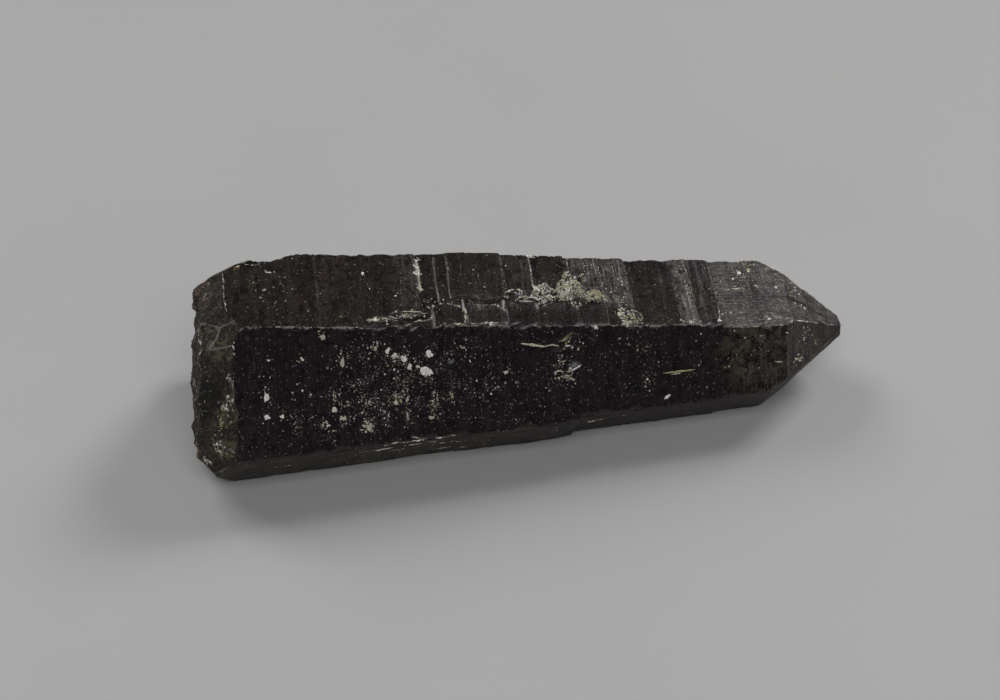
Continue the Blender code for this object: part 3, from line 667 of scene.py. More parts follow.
def two_lowest(points, size, seed, half, middle=(0.0, 0.0)):
    """The two lowest of many seeded bowls at each point.

    There is one bowl for each square of size, near its middle, over a rectangle with these half sizes. Bowl:
    depth + 1.2 * (distance / size) squared. Only the bowls of the squares round a point are looked at.
    """
    random = np.random.default_rng(seed)
    squares = [np.arange(-reach, reach + size, size) for reach in half]
    middles = np.stack(np.meshgrid(*squares), axis=-1).reshape(-1, 2) + middle
    middles += random.uniform(-0.4, 0.4, middles.shape) * size
    depths = random.uniform(-0.6, 0.0, len(middles))
    square = np.round((points - middle + np.array(half)) / size).astype(int)
    lowest = second = np.full(points.shape[:-1], np.inf)
    for step in np.ndindex(5, 5):
        column = np.clip(square[..., 0] + step[0] - 2, 0, len(squares[0]) - 1)
        row = np.clip(square[..., 1] + step[1] - 2, 0, len(squares[1]) - 1)
        bowl = row * len(squares[0]) + column
        distances = ((points - middles[bowl]) ** 2).sum(axis=-1)
        height = depths[bowl] + 1.2 * distances / size**2
        fresh = height > lowest + 1e-9
        second = np.where(height < lowest - 1e-9, lowest, np.where(fresh, np.minimum(second, height), second))
        lowest = np.minimum(lowest, height)
    return lowest, second


def scoops(points, size, seed, half, middle=(0.0, 0.0)):
    """Shell-like hollows with sharp ridges between, about -0.5 to 0.5: the lowest of many seeded bowls."""
    return two_lowest(points, size, seed, half, middle)[0] + 0.15


def scoop_ridges(points, size, seed, half, reach):
    """1 on the ridges between shell-like hollows, falling evenly to 0 where two bowls differ by reach."""
    lowest, second = two_lowest(points, size, seed, half)
    return np.clip(1 - (second - lowest) / reach, 0, 1)


def growth(name, place):
    """Height of a face above its plane, from its growth steps. It dies away before the first of them."""
    steps = np.array(GROWTH_STEPS[name])
    edges = np.stack([steps[:, 0] - RISER / 2, steps[:, 0] + RISER / 2], axis=1)
    edges = np.concatenate([[edges[0, 0] - FIRST_SLOPE], edges.ravel()])
    return np.interp(place, edges, [0.0, *steps[:, 1:].ravel()])


def swayed(place, around):
    """from_tip of a growth line's point. around counts the sides of the section that it has passed."""
    waves = [np.sin(turns * np.pi * around / 3 + rate * place + phase) for turns, rate, phase in SWAY_WAVES]
    swaying = smooth_step((place - SWAY_BEGINS) / SWAY_FADE) * smooth_step((BREAK_BEGINS - place) / SWAY_FADE)
    return place + GROWTH_SWAY * sum(waves) / len(waves) * swaying


def chipping(from_tip, to_corner, corner_side, length=CHIP_LENGTH, depth=CHIP_DEPTH, reach=CHIP_REACH):
    """Depth of the chips along a ridge, named by the side it starts: deepest on the ridge itself."""
    random = np.random.default_rng([CHIP_SEED, corner_side])
    draws = random.random(int(BREAK_HEART / length) + 2)
    depths = depth * np.maximum(draws - WHOLE_SHARE, 0) / (1 - WHOLE_SHARE)
    there = np.interp(from_tip, length * np.arange(len(depths)), depths)
    return there * np.clip(1 - to_corner / reach, 0, 1)


def plate_edge(from_tip):
    """How far the back edge of the plates lies from the front ridge: swaying a little along the crystal."""
    return PLATE_WIDTH + PLATE_SWAY * drift(from_tip, 0 * from_tip, PLATE_SWAY_SIZE, PLATE_SEED)


def along_plates(from_tip):
    """1 along the row of plates and 0 beyond its ends, with an S between."""
    first, last = min(PLATE_GAPS), max(PLATE_GAPS)
    return smooth_step((from_tip - first) / PLATE_FLANK) * smooth_step((last - from_tip) / PLATE_FLANK)


def crevices(from_tip, to_ridge):
    """1 in the crevice behind the plates and in the gaps between them, falling evenly to 0 beside it."""
    beyond_edge = to_ridge - plate_edge(from_tip)
    sunk = along_plates(from_tip) * np.clip(1 - np.abs(beyond_edge) / CREVICE_REACH, 0, 1)
    for gap in PLATE_GAPS[1:-1]:
        between = np.clip(1 - np.abs(from_tip - gap) / CREVICE_REACH, 0, 1) * (beyond_edge < 0)
        sunk = np.maximum(sunk, between)
    return sunk


def plates(from_tip, to_ridge):
    """The raised plates, with a crevice behind them and a gap between each two."""
    inside = smooth_step((plate_edge(from_tip) - to_ridge) / PLATE_FLANK + 0.5)
    return PLATE_HEIGHT * along_plates(from_tip) * inside - CREVICE_DEPTH * crevices(from_tip, to_ridge)


def ragged(from_tip, across):
    """The same place moved about by a little, which gives an oval drawn with it a ragged outline."""
    moves = [CRUST_RAGGED * drift(from_tip, across, CRUST_RAG_SIZE, CRUST_SEED + number) for number in (1, 2)]
    return from_tip + moves[0], across + moves[1]


def crust_cover(from_tip, across):
    """Height of the crust's lumps alone."""
    places = ragged(from_tip, across)
    lumps = [rise * oval(*places, middle, half, CRUST_STEEPNESS) for middle, half, rise in CRUST_LUMPS]
    return np.maximum.reduce(lumps)


def crust_grains(from_tip, across):
    """0 to 1: how densely mineral grains lie on the crust: full on a lump, times a smooth patchy value."""
    places = ragged(from_tip, across)
    lumps = [
        share * oval(*places, middle, np.array(half) * GRAINS_REACH, GRAINS_STEEPNESS)
        for share, (middle, half, _rise) in zip(CRUST_GRAININESS, CRUST_LUMPS)
    ]
    patchy = 0.8 + 0.9 * drift(from_tip, across, CRUST_PATCH, CRUST_SEED)
    return np.clip(np.maximum.reduce(lumps) * patchy, 0, 1)


def crust(from_tip, across):
    """Lumps of crust with a broken top: their height less two sizes of bowls, which stand up as bumps."""
    height = crust_cover(from_tip, across)
    places = np.stack(np.broadcast_arrays(from_tip, across), axis=-1)
    coarse = CRUST_ROUGHNESS * scoops(places, CRUST_CHIP, CRUST_SEED, CRUST_HALF, CRUST_MIDDLE)
    fine = FINE_CRUST_DEPTH * scoops(places, FINE_CRUST, FINE_CRUST_SEED, CRUST_HALF, CRUST_MIDDLE)
    covered = np.clip(2 * height, 0, 1)
    return height - np.where(covered > 0, (coarse + fine) * covered, 0)


def behind_crease(from_tip, across):
    """How far a place lies behind the crease's line, and how whole the crease is there, from 0 to 1."""
    share = (from_tip - CREASE_TIP[0]) / (CREASE_ROOT[0] - CREASE_TIP[0])
    line = CREASE_TIP[1] + share * (CREASE_ROOT[1] - CREASE_TIP[1])
    return line - across, smooth_step(share * 4) * smooth_step((1.1 - share) * 4)


def crease_line(from_tip, across):
    """1 on the crease's line, falling evenly to 0 beside it."""
    behind, whole = behind_crease(from_tip, across)
    return whole * np.clip(1 - np.abs(behind - CREASE_WIDTH / 2) / CREASE_WIDTH, 0, 1)


def crease(from_tip, across):
    """The step along a line from the top face to the tip: proud behind it, flat in front."""
    behind, whole = behind_crease(from_tip, across)
    return CREASE_HEIGHT * whole * smooth_step(behind / CREASE_WIDTH)


def scar(from_tip, across):
    """A shallow dip inside a low rim, both broken into small shell-like chips."""
    rim_half = [SCAR_RIM_SPREAD * size for size in SCAR_HALF]
    inside = oval(from_tip, across, SCAR_MIDDLE, SCAR_HALF)
    rim = oval(from_tip, across, SCAR_MIDDLE, rim_half)
    places = np.stack(np.broadcast_arrays(from_tip, across), axis=-1)
    broken = SCAR_ROUGHNESS * scoops(places, SCAR_CHIP, SCAR_SEED, rim_half, SCAR_MIDDLE)
    raised = np.where(rim > 0, (SCAR_RIM_HEIGHT + broken) * rim, 0)
    return raised - (SCAR_DEPTH + SCAR_RIM_HEIGHT) * inside


def strips(side, place, across):
    """Fine growth steps: strips of uneven width across a face, each a little higher or lower than the next.

    A strip's random height is carried over a short riser to the next, and all are scaled by a smooth patchy
    value, so that a step dies away sideways.
    """
    random = np.random.default_rng([STRIP_SEED, side])
    edges = np.cumsum(random.uniform(*STRIP_WIDTHS, STRIPS))
    ends = np.stack([edges - STRIP_RISER / 2, edges + STRIP_RISER / 2], axis=1).ravel()
    heights = np.repeat(random.uniform(-1, 1, len(edges) + 1), 2)[1:-1]
    patchy = 0.6 + 0.6 * drift(place, across, STRIP_PATCH, STRIP_SEED + side)
    return STRIP_HEIGHT * np.interp(place, ends, heights) * np.clip(patchy, 0, 1)


def fine_relief(side, place, from_tip, across):
    """All that the skin adds to a face's relief: strips, shallow waves, and etching near the tip.

    On the bottom only what goes inwards is kept, because the crystal lies on it.
    """
    height = strips(side, place, across)
    for number, (size, depth) in enumerate(zip(WAVE_SIZES, WAVE_DEPTHS)):
        height = height + depth * drift(from_tip + SIDE_SHIFT * side, across, size, WAVE_SEED + number)
    etched = smooth_step((ETCH_ENDS - from_tip) / ETCH_FADE)
    places = np.stack(np.broadcast_arrays(from_tip, across), axis=-1)
    pits = scoops(places, ETCH_SIZE, ETCH_SEED, ETCH_HALF, ETCH_MIDDLE).clip(-1, 1)
    height = height + ETCH_DEPTH * etched * pits
    return np.minimum(height, 0) if side == BOTTOM else height


def relief(side, place, from_tip, points, corners):
    """Height of one face above its plane, at points of the section whose corners start the sides."""
    name = NAMES[side]
    after = (side + 1) % len(FACES)
    across = points @ SIDEWAYS[side]
    to_start = across - corners[side] @ SIDEWAYS[side]
    to_end = corners[after] @ SIDEWAYS[side] - across
    height = growth(name, place) + fine_relief(side, place, from_tip, across)
    for to_corner, number in ((to_start, side), (to_end, after)):
        height = height - chipping(from_tip, to_corner, number)
        height = height - chipping(from_tip, to_corner, number, FINE_CHIP, FINE_CHIP_DEPTH, FINE_CHIP_REACH)
    for middle, half, depth in PITS.get(name, ()):
        height = height - depth * oval(from_tip, across, middle, half)
    if name == "top":
        beyond = smooth_step((to_end - RIDGE_FLAT) / (RIDGE_WHOLE - RIDGE_FLAT))
        lean = RIDGE_SHARE + (1 - RIDGE_SHARE) * beyond
        raised = np.maximum(growth(name, place), 0)
        height = height - (1 - lean) * raised + plates(from_tip, to_end) * np.maximum(lean, PLATE_SHARE)
        height = height + crust(from_tip, across) + crease(from_tip, across)
    if name == "front_upper":
        height = height + scar(from_tip, across)
    if name == "back_upper":
        height = height - SPLIT_DEPTH * smooth_step((from_tip - SPLIT_BEGINS) / (SPLIT_WHOLE - SPLIT_BEGINS))
    return height


def face_distances(from_tip):
    """Distance of the six faces from the axis: the prism face or its end face, whichever is nearer."""
    places = np.asarray(from_tip)[None]
    shape = (-1,) + (1,) * (places.ndim - 1)
    prism = DISTANCES.reshape(shape) + TAPERS.reshape(shape) * places
    ends = END_DISTANCES.reshape(shape) + END_SLOPES.reshape(shape) * places
    return np.minimum(prism, ends)


def crossing(side, heights):
    """The point at these heights over two faces, the one before a side and the side itself."""
    both = np.linalg.inv(OUTWARD[[side - 1, side]])
    return np.moveaxis(np.tensordot(both, heights, axes=1), 0, -1)


def corner(side, from_tip):
    """Where the section turns on to a side from the one before it."""
    distances = face_distances(from_tip)
    return crossing(side, distances[[side - 1, side]])


def section_points(place, side, share):
    """The surface as a function of two parameters: place, a growth line, and share, the way along one side.

    A point stands on its side's straight line and moves out by the face's relief there. A corner moves so
    that it follows the relief of both its faces, and the points beside it move sideways with it, which dies
    away quickly from the corner.
    """
    place, share = np.broadcast_arrays(place, share)
    from_tip = swayed(place, side + share)
    corners = [corner(number, from_tip) for number in range(len(FACES))]
    after = (side + 1) % len(FACES)
    point = corners[side] + share[..., None] * (corners[after] - corners[side])
    slide = 0
    for number, nearness in ((side, (1 - share) ** 4), (after, share**4)):
        before = relief((number - 1) % len(FACES), place, from_tip, corners[number], corners)
        beyond = relief(number, place, from_tip, corners[number], corners)
        slide = slide + nearness * (crossing(number, np.stack([before, beyond])) @ SIDEWAYS[side])
    outward = relief(side, place, from_tip, point, corners)
    return point + outward[..., None] * OUTWARD[side] + slide[..., None] * SIDEWAYS[side], from_tip


def break_outline(directions):
    """How far the section reaches from the axis at the break, in each direction."""
    corners = np.array([corner(side, BREAK_SECTION) for side in range(len(FACES))])
    return (corners @ directions).max(axis=0)


def break_surface(points, fine=True):
    """from_tip of the break over the section: the lowest chip, roughened by small shell-like hollows.

    The fine part adds the lump, finer hollows in patches, and grit. The rim of the break is found without it.
    """
    surface = BREAK_HEART + points @ np.array(BREAK_LEAN)
    for angle, at_edge, gain in BREAK_CHIPS:
        direction = np.array([np.cos(np.radians(angle)), np.sin(np.radians(angle))])
        inwards = break_outline(direction) - points @ direction
        surface = np.minimum(surface, at_edge + gain * np.maximum(inwards, 0))
    surface = surface + BREAK_ROUGHNESS * scoops(points, BREAK_CHIP, BREAK_SEED, BREAK_HALF)
    if fine:
        first, second = points[..., 0], points[..., 1]
        surface = surface + BREAK_LUMP_HEIGHT * oval(first, second, BREAK_LUMP_MIDDLE, BREAK_LUMP_HALF, 2)
        patchy = np.clip(0.55 + drift(first, second, FINE_BREAK_PATCH, FINE_BREAK_SEED), 0.1, 1)
        hollows = scoops(points, FINE_BREAK, FINE_BREAK_SEED, BREAK_HALF)
        surface = surface + FINE_BREAK_DEPTH * patchy * hollows
        grit = drift(first, second, BREAK_GRIT, BREAK_GRIT_SEED)
        surface = surface + BREAK_GRIT_DEPTH * grit
    return surface


def broken_ridges(points):
    """How worn the ridges between the break's hollows are: the larger of two sizes, times a patchy value."""
    large = LARGE_RIDGES[1] * scoop_ridges(points, BREAK_CHIP, BREAK_SEED, BREAK_HALF, LARGE_RIDGES[0])
    fine = FINE_RIDGES[1] * scoop_ridges(points, FINE_BREAK, FINE_BREAK_SEED, BREAK_HALF, FINE_RIDGES[0])
    patchy = np.clip(0.65 + drift(points[..., 0], points[..., 1], BREAK_WORN_PATCH, WORN_SEED), 0, 1)
    return patchy * np.maximum(large, fine)


def stations():
    """from_tip of each ring before the break: the edges of each step, where end faces end, and infill."""
    steps = {step[0] for table in GROWTH_STEPS.values() for step in table}
    marks = [place + side * RISER / 2 for place in steps for side in (-1, 1)]
    marks += list((DISTANCES - END_DISTANCES) / (END_SLOPES - TAPERS))
    places = [0.0]
    for place in sorted(mark for mark in marks if mark < BREAK_BEGINS) + [BREAK_BEGINS]:
        if place - places[-1] >= SKIN_LEAST_GAP:
            pieces = int(np.ceil((place - places[-1]) / SKIN_GAP))
            places += list(np.linspace(places[-1], place, pieces + 1)[1:])
    return np.array(places)


def side_grid(places, side):
    """One side's rings and columns, from the tip to the rim and on over the break to near its centre."""
    count = SKIN_COLUMNS[NAMES[side]]
    share = np.arange(count)[None] / count
    rim = break_surface(section_points(np.array([[BREAK_SECTION]]), side, share)[0], fine=False)
    to_rim = BREAK_BEGINS + np.linspace(0, 1, RIM_RINGS + 1)[1:, None] * (rim - BREAK_BEGINS)
    place = np.concatenate([np.repeat(places[:, None], count, axis=1), to_rim])
    outside, from_tip = section_points(place, side, share)
    sizes = np.linspace(1, 0, BREAK_RINGS + 1)[1:-1, None, None]
    inside = BREAK_CENTRE + sizes * (outside[-1] - BREAK_CENTRE)
    return np.concatenate([outside, inside]), np.concatenate([from_tip, break_surface(inside)])


def to_world(section, from_tip):
    """Section points to metres in the part's frame: tip towards +X, top face up, bottom on the ground."""
    lean = np.arctan(TAPERS[BOTTOM])
    x = section[..., 1] * np.sin(lean) - from_tip * np.cos(lean)
    z = section[..., 1] * np.cos(lean) + from_tip * np.sin(lean) + DISTANCES[BOTTOM] * np.cos(lean)
    return (np.stack([x, section[..., 0], z], axis=-1) - [*ORIGIN, 0]) * MM


def side_ends(side, from_tip):
    """The across values at which a side starts and ends, on the plain section there."""
    ends = [corner(number, from_tip) @ SIDEWAYS[side] for number in (side, (side + 1) % len(FACES))]
    return np.sort(np.stack(ends), axis=0)


def face_places(face, places):
    """Points of the surface in the section and their from_tip, for rows of (from_tip, across) on a face.

    The way along the side is across measured between the side's two ends, and is kept on the side, so that a
    place beyond an end lies on the ridge there. On the broken end a row is a point of the section already.
    """
    if face == "break":
        return places, break_surface(places)
    side = NAMES.index(face)
    low, high = side_ends(side, places[:, 0])
    share = np.clip((places[:, 1] - low) / (high - low), 0, 1)
    place = places[:, 0] - (swayed(places[:, 0], side + share) - places[:, 0])
    return section_points(place, side, share)


def on_surface(face, places):
    """Points of the surface in metres, and at each an along, an across and an outward direction.

    The directions come from the surface NEXT_PLACE further on, taken as two differences and their cross
    product, turned so that it points away from the crystal's heart.
    """
    moves = [np.zeros(2), np.array([NEXT_PLACE, 0.0]), np.array([0.0, NEXT_PLACE])]
    here, along, across = [to_world(*face_places(face, places + move)) for move in moves]
    along = unit(along - here)
    outward = unit(np.cross(along, unit(across - here)))
    heart = to_world(np.zeros(2), np.array(HEART))
    outward *= np.where(((here - heart) * outward).sum(axis=1) < 0, -1, 1)[:, None]
    return here, np.stack([along, np.cross(outward, along), outward], axis=2)


def unit(vectors):
    """The same vectors with length 1."""
    lengths = np.linalg.norm(vectors, axis=-1, keepdims=True)
    return vectors / np.where(lengths > 0, lengths, 1)


def line_nearness(face, from_tip, across):
    """1 on a mineral line of this face, falling evenly to 0 a little beyond its width, times its cover."""
    near = np.zeros(np.shape(from_tip))
    low, high = side_ends(NAMES.index(face), from_tip)
    for _tone, width, cover, points in SEAMS.get(face, ()):
        for start, end in zip(points, points[1:]):
            start, end = np.array(start, float), np.array(end, float)
            run = end - start
            offset = from_tip - start[0], np.clip(across, low, high) - np.clip(start[1], low, high)
            share = np.clip((offset[0] * run[0] + offset[1] * run[1]) / max(run @ run, 1e-9), 0, 1)
            distance = np.hypot(offset[0] - share * run[0], offset[1] - share * run[1])
            stain = smooth_step(STAIN_CORE - distance / (STAIN_SPREAD * width + STAIN_LEAST))
            near = np.maximum(near, cover * stain)
    return near


def band_frost(name, from_tip, across):
    """How frosted a face is by its bands: for each, the product of S curves at its two ends and two sides."""
    bands = np.zeros(np.shape(from_tip))
    for face, start, end, low, high, strength, fade in BANDS:
        if face == name:
            gaps = (from_tip - start, end - from_tip, across - low, high - across)
            fades = (BAND_FADE[0], fade, BAND_FADE[1], BAND_FADE[1])
            inside = [smooth_step(gap / length + 0.5) for gap, length in zip(gaps, fades)]
            bands = bands + strength * np.prod(inside, axis=0)
    return bands


def ridge_wear(number, from_tip, to_ridge):
    """How worn a ridge is: most on the ridge itself, in spots along it."""
    spots = drift(from_tip, np.full(np.shape(from_tip), WORN_SHIFT * number), WORN_SPOT, WORN_SEED)
    return RIDGE_WEAR[number] * np.clip(0.55 + spots, 0, 1) * np.clip(1 - to_ridge / WORN_REACH, 0, 1)


def dustiness(name, from_tip, across):
    """How dusty a face is: the most of its fields, each a bell curve round its middle."""
    dusty = np.zeros(np.shape(from_tip))
    for face, middle, half, share in DUST_FIELDS:
        if face == name:
            spread = ((from_tip - middle[0]) / half[0]) ** 2 + ((across - middle[1]) / half[1]) ** 2
            dusty = np.maximum(dusty, DUST_MASK * share * np.exp(-DUST_FALL * spread))
    return dusty


def face_masks(side, from_tip, section, ridges, broken):
    """The skin's masks for its materials, each from 0 to 1, by name. broken is 1 over the broken end.

    ridges holds the section points of the two ridges that end this side, for each ring.
    """
    name = NAMES[side]
    across = section @ SIDEWAYS[side]
    whole = 1 - broken
    masks = {key: np.zeros(np.shape(from_tip)) for key in MASKS}
    tip = smooth_step((TIP_BEGINS - from_tip) / TIP_FADES.get(name, TIP_FADE))
    masks["stain"] = line_nearness(name, from_tip, across) * whole
    frost = band_frost(name, from_tip, across) + TIP_FROST.get(name, 0) * tip
    masks["frost"] = np.clip(frost, 0, 1) * whole
    masks["streaky"] = np.maximum(FACE_STREAKS.get(name, 0), TIP_STREAKS.get(name, 0) * tip) * whole
    masks["dusty"] = dustiness(name, from_tip, across) * whole
    masks["fracture"] = broken
    masks["worn"] = broken * broken_ridges(section)
    for ridge, number in zip(ridges, (side, (side + 1) % len(FACES))):
        to_ridge = np.abs(across - ridge @ SIDEWAYS[side])
        masks["worn"] = np.maximum(masks["worn"], ridge_wear(number, from_tip, to_ridge) * whole)
    if name in BROWN_FACES:
        start, length, clouding, size = BROWN_FACES[name]
        clouds = clouding * drift(from_tip, across, size, BROWN_SEED)
        masks["brown"] = smooth_step((from_tip - start) / length + clouds)
    if name == "top":
        to_ridge = side_ends(side, from_tip)[1] - across
        # Painted shade: the crevices behind the plates and the crease's line are darkened.
        sunk = np.maximum(crevices(from_tip, to_ridge), crease_line(from_tip, across))
        masks["hollow"] = 0.5 * sunk * whole
        masks["crust"] = crust_grains(from_tip, across) * whole
    for face, shown, first, second, steepness in (
        ("break", broken, section[..., 0], section[..., 1], 2),
        (name, whole, from_tip, across, 1),
    ):
        for key, middle, half, amount in PATCHES.get(face, ()):
            patch = amount * shown * oval(first, second, middle, half, steepness)
            masks[key] = np.maximum(masks[key], patch)
    return masks


def skin_parts():
    """The skin's points in metres, its faces, and its point attributes.

    Rings of points are joined by quads, with a fan of triangles at each end. The attribute lie holds
    from_tip, across and the side's shift, all in mm, for patterns that follow the growth lines.
    """
    places = stations()
    grids = [side_grid(places, side) for side in range(len(FACES))]
    section = np.concatenate([grid[0] for grid in grids], axis=1)
    from_tip = np.concatenate([grid[1] for grid in grids], axis=1)
    rings, around = from_tip.shape
    broken = (np.arange(rings) > rings - BREAK_RINGS)[:, None] * np.ones((1, around))
    masks = []
    for side, (side_section, side_from_tip) in enumerate(grids):
        there = broken[:, : side_from_tip.shape[1]]
        ridges = side_section[:, :1], grids[(side + 1) % len(FACES)][0][:, :1]
        masks.append(face_masks(side, side_from_tip, side_section, ridges, there))
    values = {key: np.concatenate([mask[key] for mask in masks], axis=1).ravel() for key in MASKS}
    shifts = np.repeat(SIDE_SHIFT * np.arange(len(FACES)), [SKIN_COLUMNS[name] for name in NAMES])
    across = np.concatenate([grid[0] @ SIDEWAYS[side] for side, grid in enumerate(grids)], axis=1)
    lie = np.stack([from_tip, across, np.broadcast_to(shifts, from_tip.shape)], axis=-1).reshape(-1, 3)
    ends = np.array([BREAK_CENTRE, section[0].mean(axis=0)])
    end_places = np.array([break_surface(BREAK_CENTRE[None])[0], -TIP_CHIP])
    section = np.concatenate([section.reshape(-1, 2), ends])
    points = to_world(section, np.concatenate([from_tip.ravel(), end_places]))
    here, after = np.arange(around), (np.arange(around) + 1) % around
    ring = np.arange(rings - 1)[:, None] * around
    quads = np.stack([ring + here, ring + around + here, ring + around + after, ring + after], axis=-1)
    last = (rings - 1) * around
    break_fan = np.stack([last + after, last + here, np.full(around, len(points) - 2)], axis=1)
    tip_fan = np.stack([here, after, np.full(around, len(points) - 1)], axis=1)
    faces = quads.reshape(-1, 4).tolist() + break_fan.tolist() + tip_fan.tolist()
    values = {key: np.append(value, [value[-1], value[0]]) for key, value in values.items()}
    values["lie"] = np.concatenate([lie, lie[-1:], lie[:1]])
    return points, faces, values


def add_piece(name, points, faces, material, values, smooth):
    """Makes an object from arrays, at the origin, with its attributes, and lets it ride on the crystal."""
    mesh = bpy.data.meshes.new(name)
    mesh.from_pydata(points, [], faces)
    for key, value in values.items():
        kind, field = ("FLOAT", "value") if value.ndim == 1 else ("FLOAT_VECTOR", "vector")
        mesh.attributes.new(key, kind, "POINT").data.foreach_set(field, value.astype(np.float32).ravel())
    mesh.materials.append(material)
    if smooth:
        mesh.shade_smooth()
        mesh.set_sharp_from_angle(angle=EDGE_ANGLE)
    piece = bpy.data.objects.new(name, mesh)
    bpy.context.scene.collection.objects.link(piece)
    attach(piece, BODY)
    return piece


def lump_parts(middles, frames, sizes, tones, seed, rings=4, around=6, lumpiness=0.25, jagged=0.2):
    """Little lumps joined into one mesh: points, faces, and the tone of each point.

    A lump is an ellipsoid: middle + frame * size * (sin p cos t, sin p sin t, cos p), with p from the pole
    that points outward and t round it. Each point is moved in or out by a random share of its distance, and
    each meridian by one more share, which gives a lump its jagged outline.
    """
    random = np.random.default_rng(seed)
    polar = np.pi * np.arange(1, rings)[:, None] / rings
    turn = 2 * np.pi * np.arange(around) / around
    belt = np.broadcast_arrays(np.sin(polar) * np.cos(turn), np.sin(polar) * np.sin(turn), np.cos(polar))
    ball = np.concatenate([[[0, 0, 1]], np.stack(belt, axis=-1).reshape(-1, 3), [[0, 0, -1]]])
    shares = 1 + random.uniform(-lumpiness, lumpiness, (len(middles), len(ball), 1))
    meridians = np.tile(random.uniform(-jagged, jagged, (len(middles), 1, around)), (1, rings - 1, 1))
    shares[:, 1:-1, 0] += meridians.reshape(len(middles), -1)
    points = middles[:, None] + np.einsum("nij,npj->npi", frames, sizes[:, None] * ball * shares)
    here, after = np.arange(around), (np.arange(around) + 1) % around
    top = np.stack([np.zeros(around, int), 1 + here, 1 + after], axis=1)
    rows = 1 + around * np.arange(rings - 2)[:, None]
    left, right = rows + here, rows + after
    sides = [
        np.stack([left, left + around, right], axis=-1),
        np.stack([right, left + around, right + around], axis=-1),
    ]
    low = 1 + around * (rings - 2)
    bottom = np.stack([low + after, low + here, np.full(around, len(ball) - 1)], axis=1)
    pattern = np.concatenate([top, *[side.reshape(-1, 3) for side in sides], bottom])
    faces = (pattern + len(ball) * np.arange(len(middles))[:, None, None]).reshape(-1, 3)
    return points.reshape(-1, 3), faces.tolist(), np.repeat(tones, len(ball))


def turned(frames, random, tilt):
    """Frames spun by a random angle about outward, then leaned a little."""
    spin = random.uniform(0, 2 * np.pi, len(frames))
    along = np.cos(spin)[:, None] * frames[..., 0] + np.sin(spin)[:, None] * frames[..., 1]
    outward = unit(frames[..., 2] + tilt * random.normal(size=(len(frames), 3)))
    across = unit(np.cross(outward, along))
    return np.stack([np.cross(across, outward), across, outward], axis=2)


def along_line(points, count, random):
    """Random places along a line of straight runs, clumped, and the line's own width there as a share.

    Each of three tries at a place has a smooth random value, and the best one is kept, so places gather
    where that value is high. The width follows the same value.
    """
    points = np.array(points, float)
    lengths = np.concatenate([[0], np.cumsum(np.linalg.norm(np.diff(points, axis=0), axis=1))])
    tries = random.uniform(0, lengths[-1], (3, count))
    swell = drift(tries, np.full(tries.shape, random.uniform(0, 99)), CLUMP_SIZE, SEAM_SEED)
    best = np.argmax(swell, axis=0), np.arange(count)
    places = np.stack([np.interp(tries[best], lengths, points[:, axis]) for axis in (0, 1)], axis=1)
    return places, 0.75 + 0.75 * swell[best]


def crumbs_on(face, places, sizes, tones, random, flatness=0.45, tilt=0.3):
    """Middles, frames, half sizes and tones of crumbs at places on a face, each sunk into it a little."""
    middles, frames = on_surface(face, places)
    frames = turned(frames, random, tilt)
    widths = sizes * random.uniform(CRUMB_NARROWEST, 1.0, len(sizes))
    halves = np.stack([sizes, widths, flatness * sizes], axis=1) / 2 * MM
    return middles + frames[..., 2] * halves[:, 2:] * CRUMB_LIFT, frames, halves, tones


def drawn_tones(names, count, random):
    """Random tones out of these names, each a little off its own."""
    tones = np.array([TONES[name] for name in names])[random.integers(0, len(names), count)]
    return np.clip(tones + random.normal(0, TONE_SPREAD, count), 0, 1)


def splinter_parts(face, tone, width, line):
    """A thin splinter: points, faces, and the tone of each point.

    A flattened oval section is carried along the line on the face: at share s of the way its width is
    width * sin(pi s) to the power 0.6, so both ends are points, and its height is a fixed part of that. A
    wave along and round the splinter makes it jagged.
    """
    count, around = SPLINTER_RINGS, SPLINTER_AROUND
    share = np.linspace(0, 1, count)
    line = np.array(line, float)
    knots = np.linspace(0, 1, len(line))
    places = np.column_stack([np.interp(share, knots, line[:, axis]) for axis in (0, 1)])
    middles, frames = on_surface(face, places)
    along = unit(np.gradient(middles, axis=0))
    outward = frames[..., 2]
    beside = unit(np.cross(outward, along))
    half = width / 2 * MM * np.sin(np.pi * np.clip(share, 0.01, 0.99)) ** 0.6
    turn = 2 * np.pi * np.arange(around) / around
    jags = 1 + SPLINTER_JAG * np.sin(17 * share[:, None] + 2 * turn)
    sideways = np.cos(turn)[:, None] * beside[:, None]
    upwards = SPLINTER_HEIGHT * np.sin(turn)[:, None] * outward[:, None]
    points = (middles[:, None] + half[:, None, None] * jags[..., None] * (sideways + upwards)).reshape(-1, 3)
    row, after = around * np.arange(count - 1)[:, None], (np.arange(around) + 1) % around
    left, right = row + np.arange(around), row + after
    triangles = [
        np.stack([left, right, right + around], axis=-1).reshape(-1, 3),
        np.stack([left, right + around, left + around], axis=-1).reshape(-1, 3),
    ]
    cap = np.arange(1, around - 1)
    first = np.stack([np.zeros(around - 2, int), cap + 1, cap], axis=1)
    last = around * (count - 1) + np.stack([np.zeros(around - 2, int), cap, cap + 1], axis=1)
    faces = np.concatenate([*triangles, first, last])
    return points, faces, np.full(len(points), TONES[tone])


def linear(colour):
    """An sRGB hex colour as linear red, green, blue and alpha."""
    parts = np.array([int(colour[n : n + 2], 16) for n in (1, 3, 5)]) / 255
    parts = np.where(parts <= 0.04045, parts / 12.92, ((parts + 0.055) / 1.055) ** 2.4)
    return (*parts.tolist(), 1.0)


def add_node(tree, kind, inputs=(), output=0, **settings):
    """Adds a shader node with its own settings and its sockets' values or links, and returns one output."""
    node = tree.nodes.new("ShaderNode" + kind)
    for name, value in settings.items():
        setattr(node, name, value)
    for socket, value in dict(inputs).items():
        if isinstance(value, bpy.types.NodeSocket):
            tree.links.new(value, node.inputs[socket])
        else:
            node.inputs[socket].default_value = value
    return node.outputs[output] if node.outputs else None


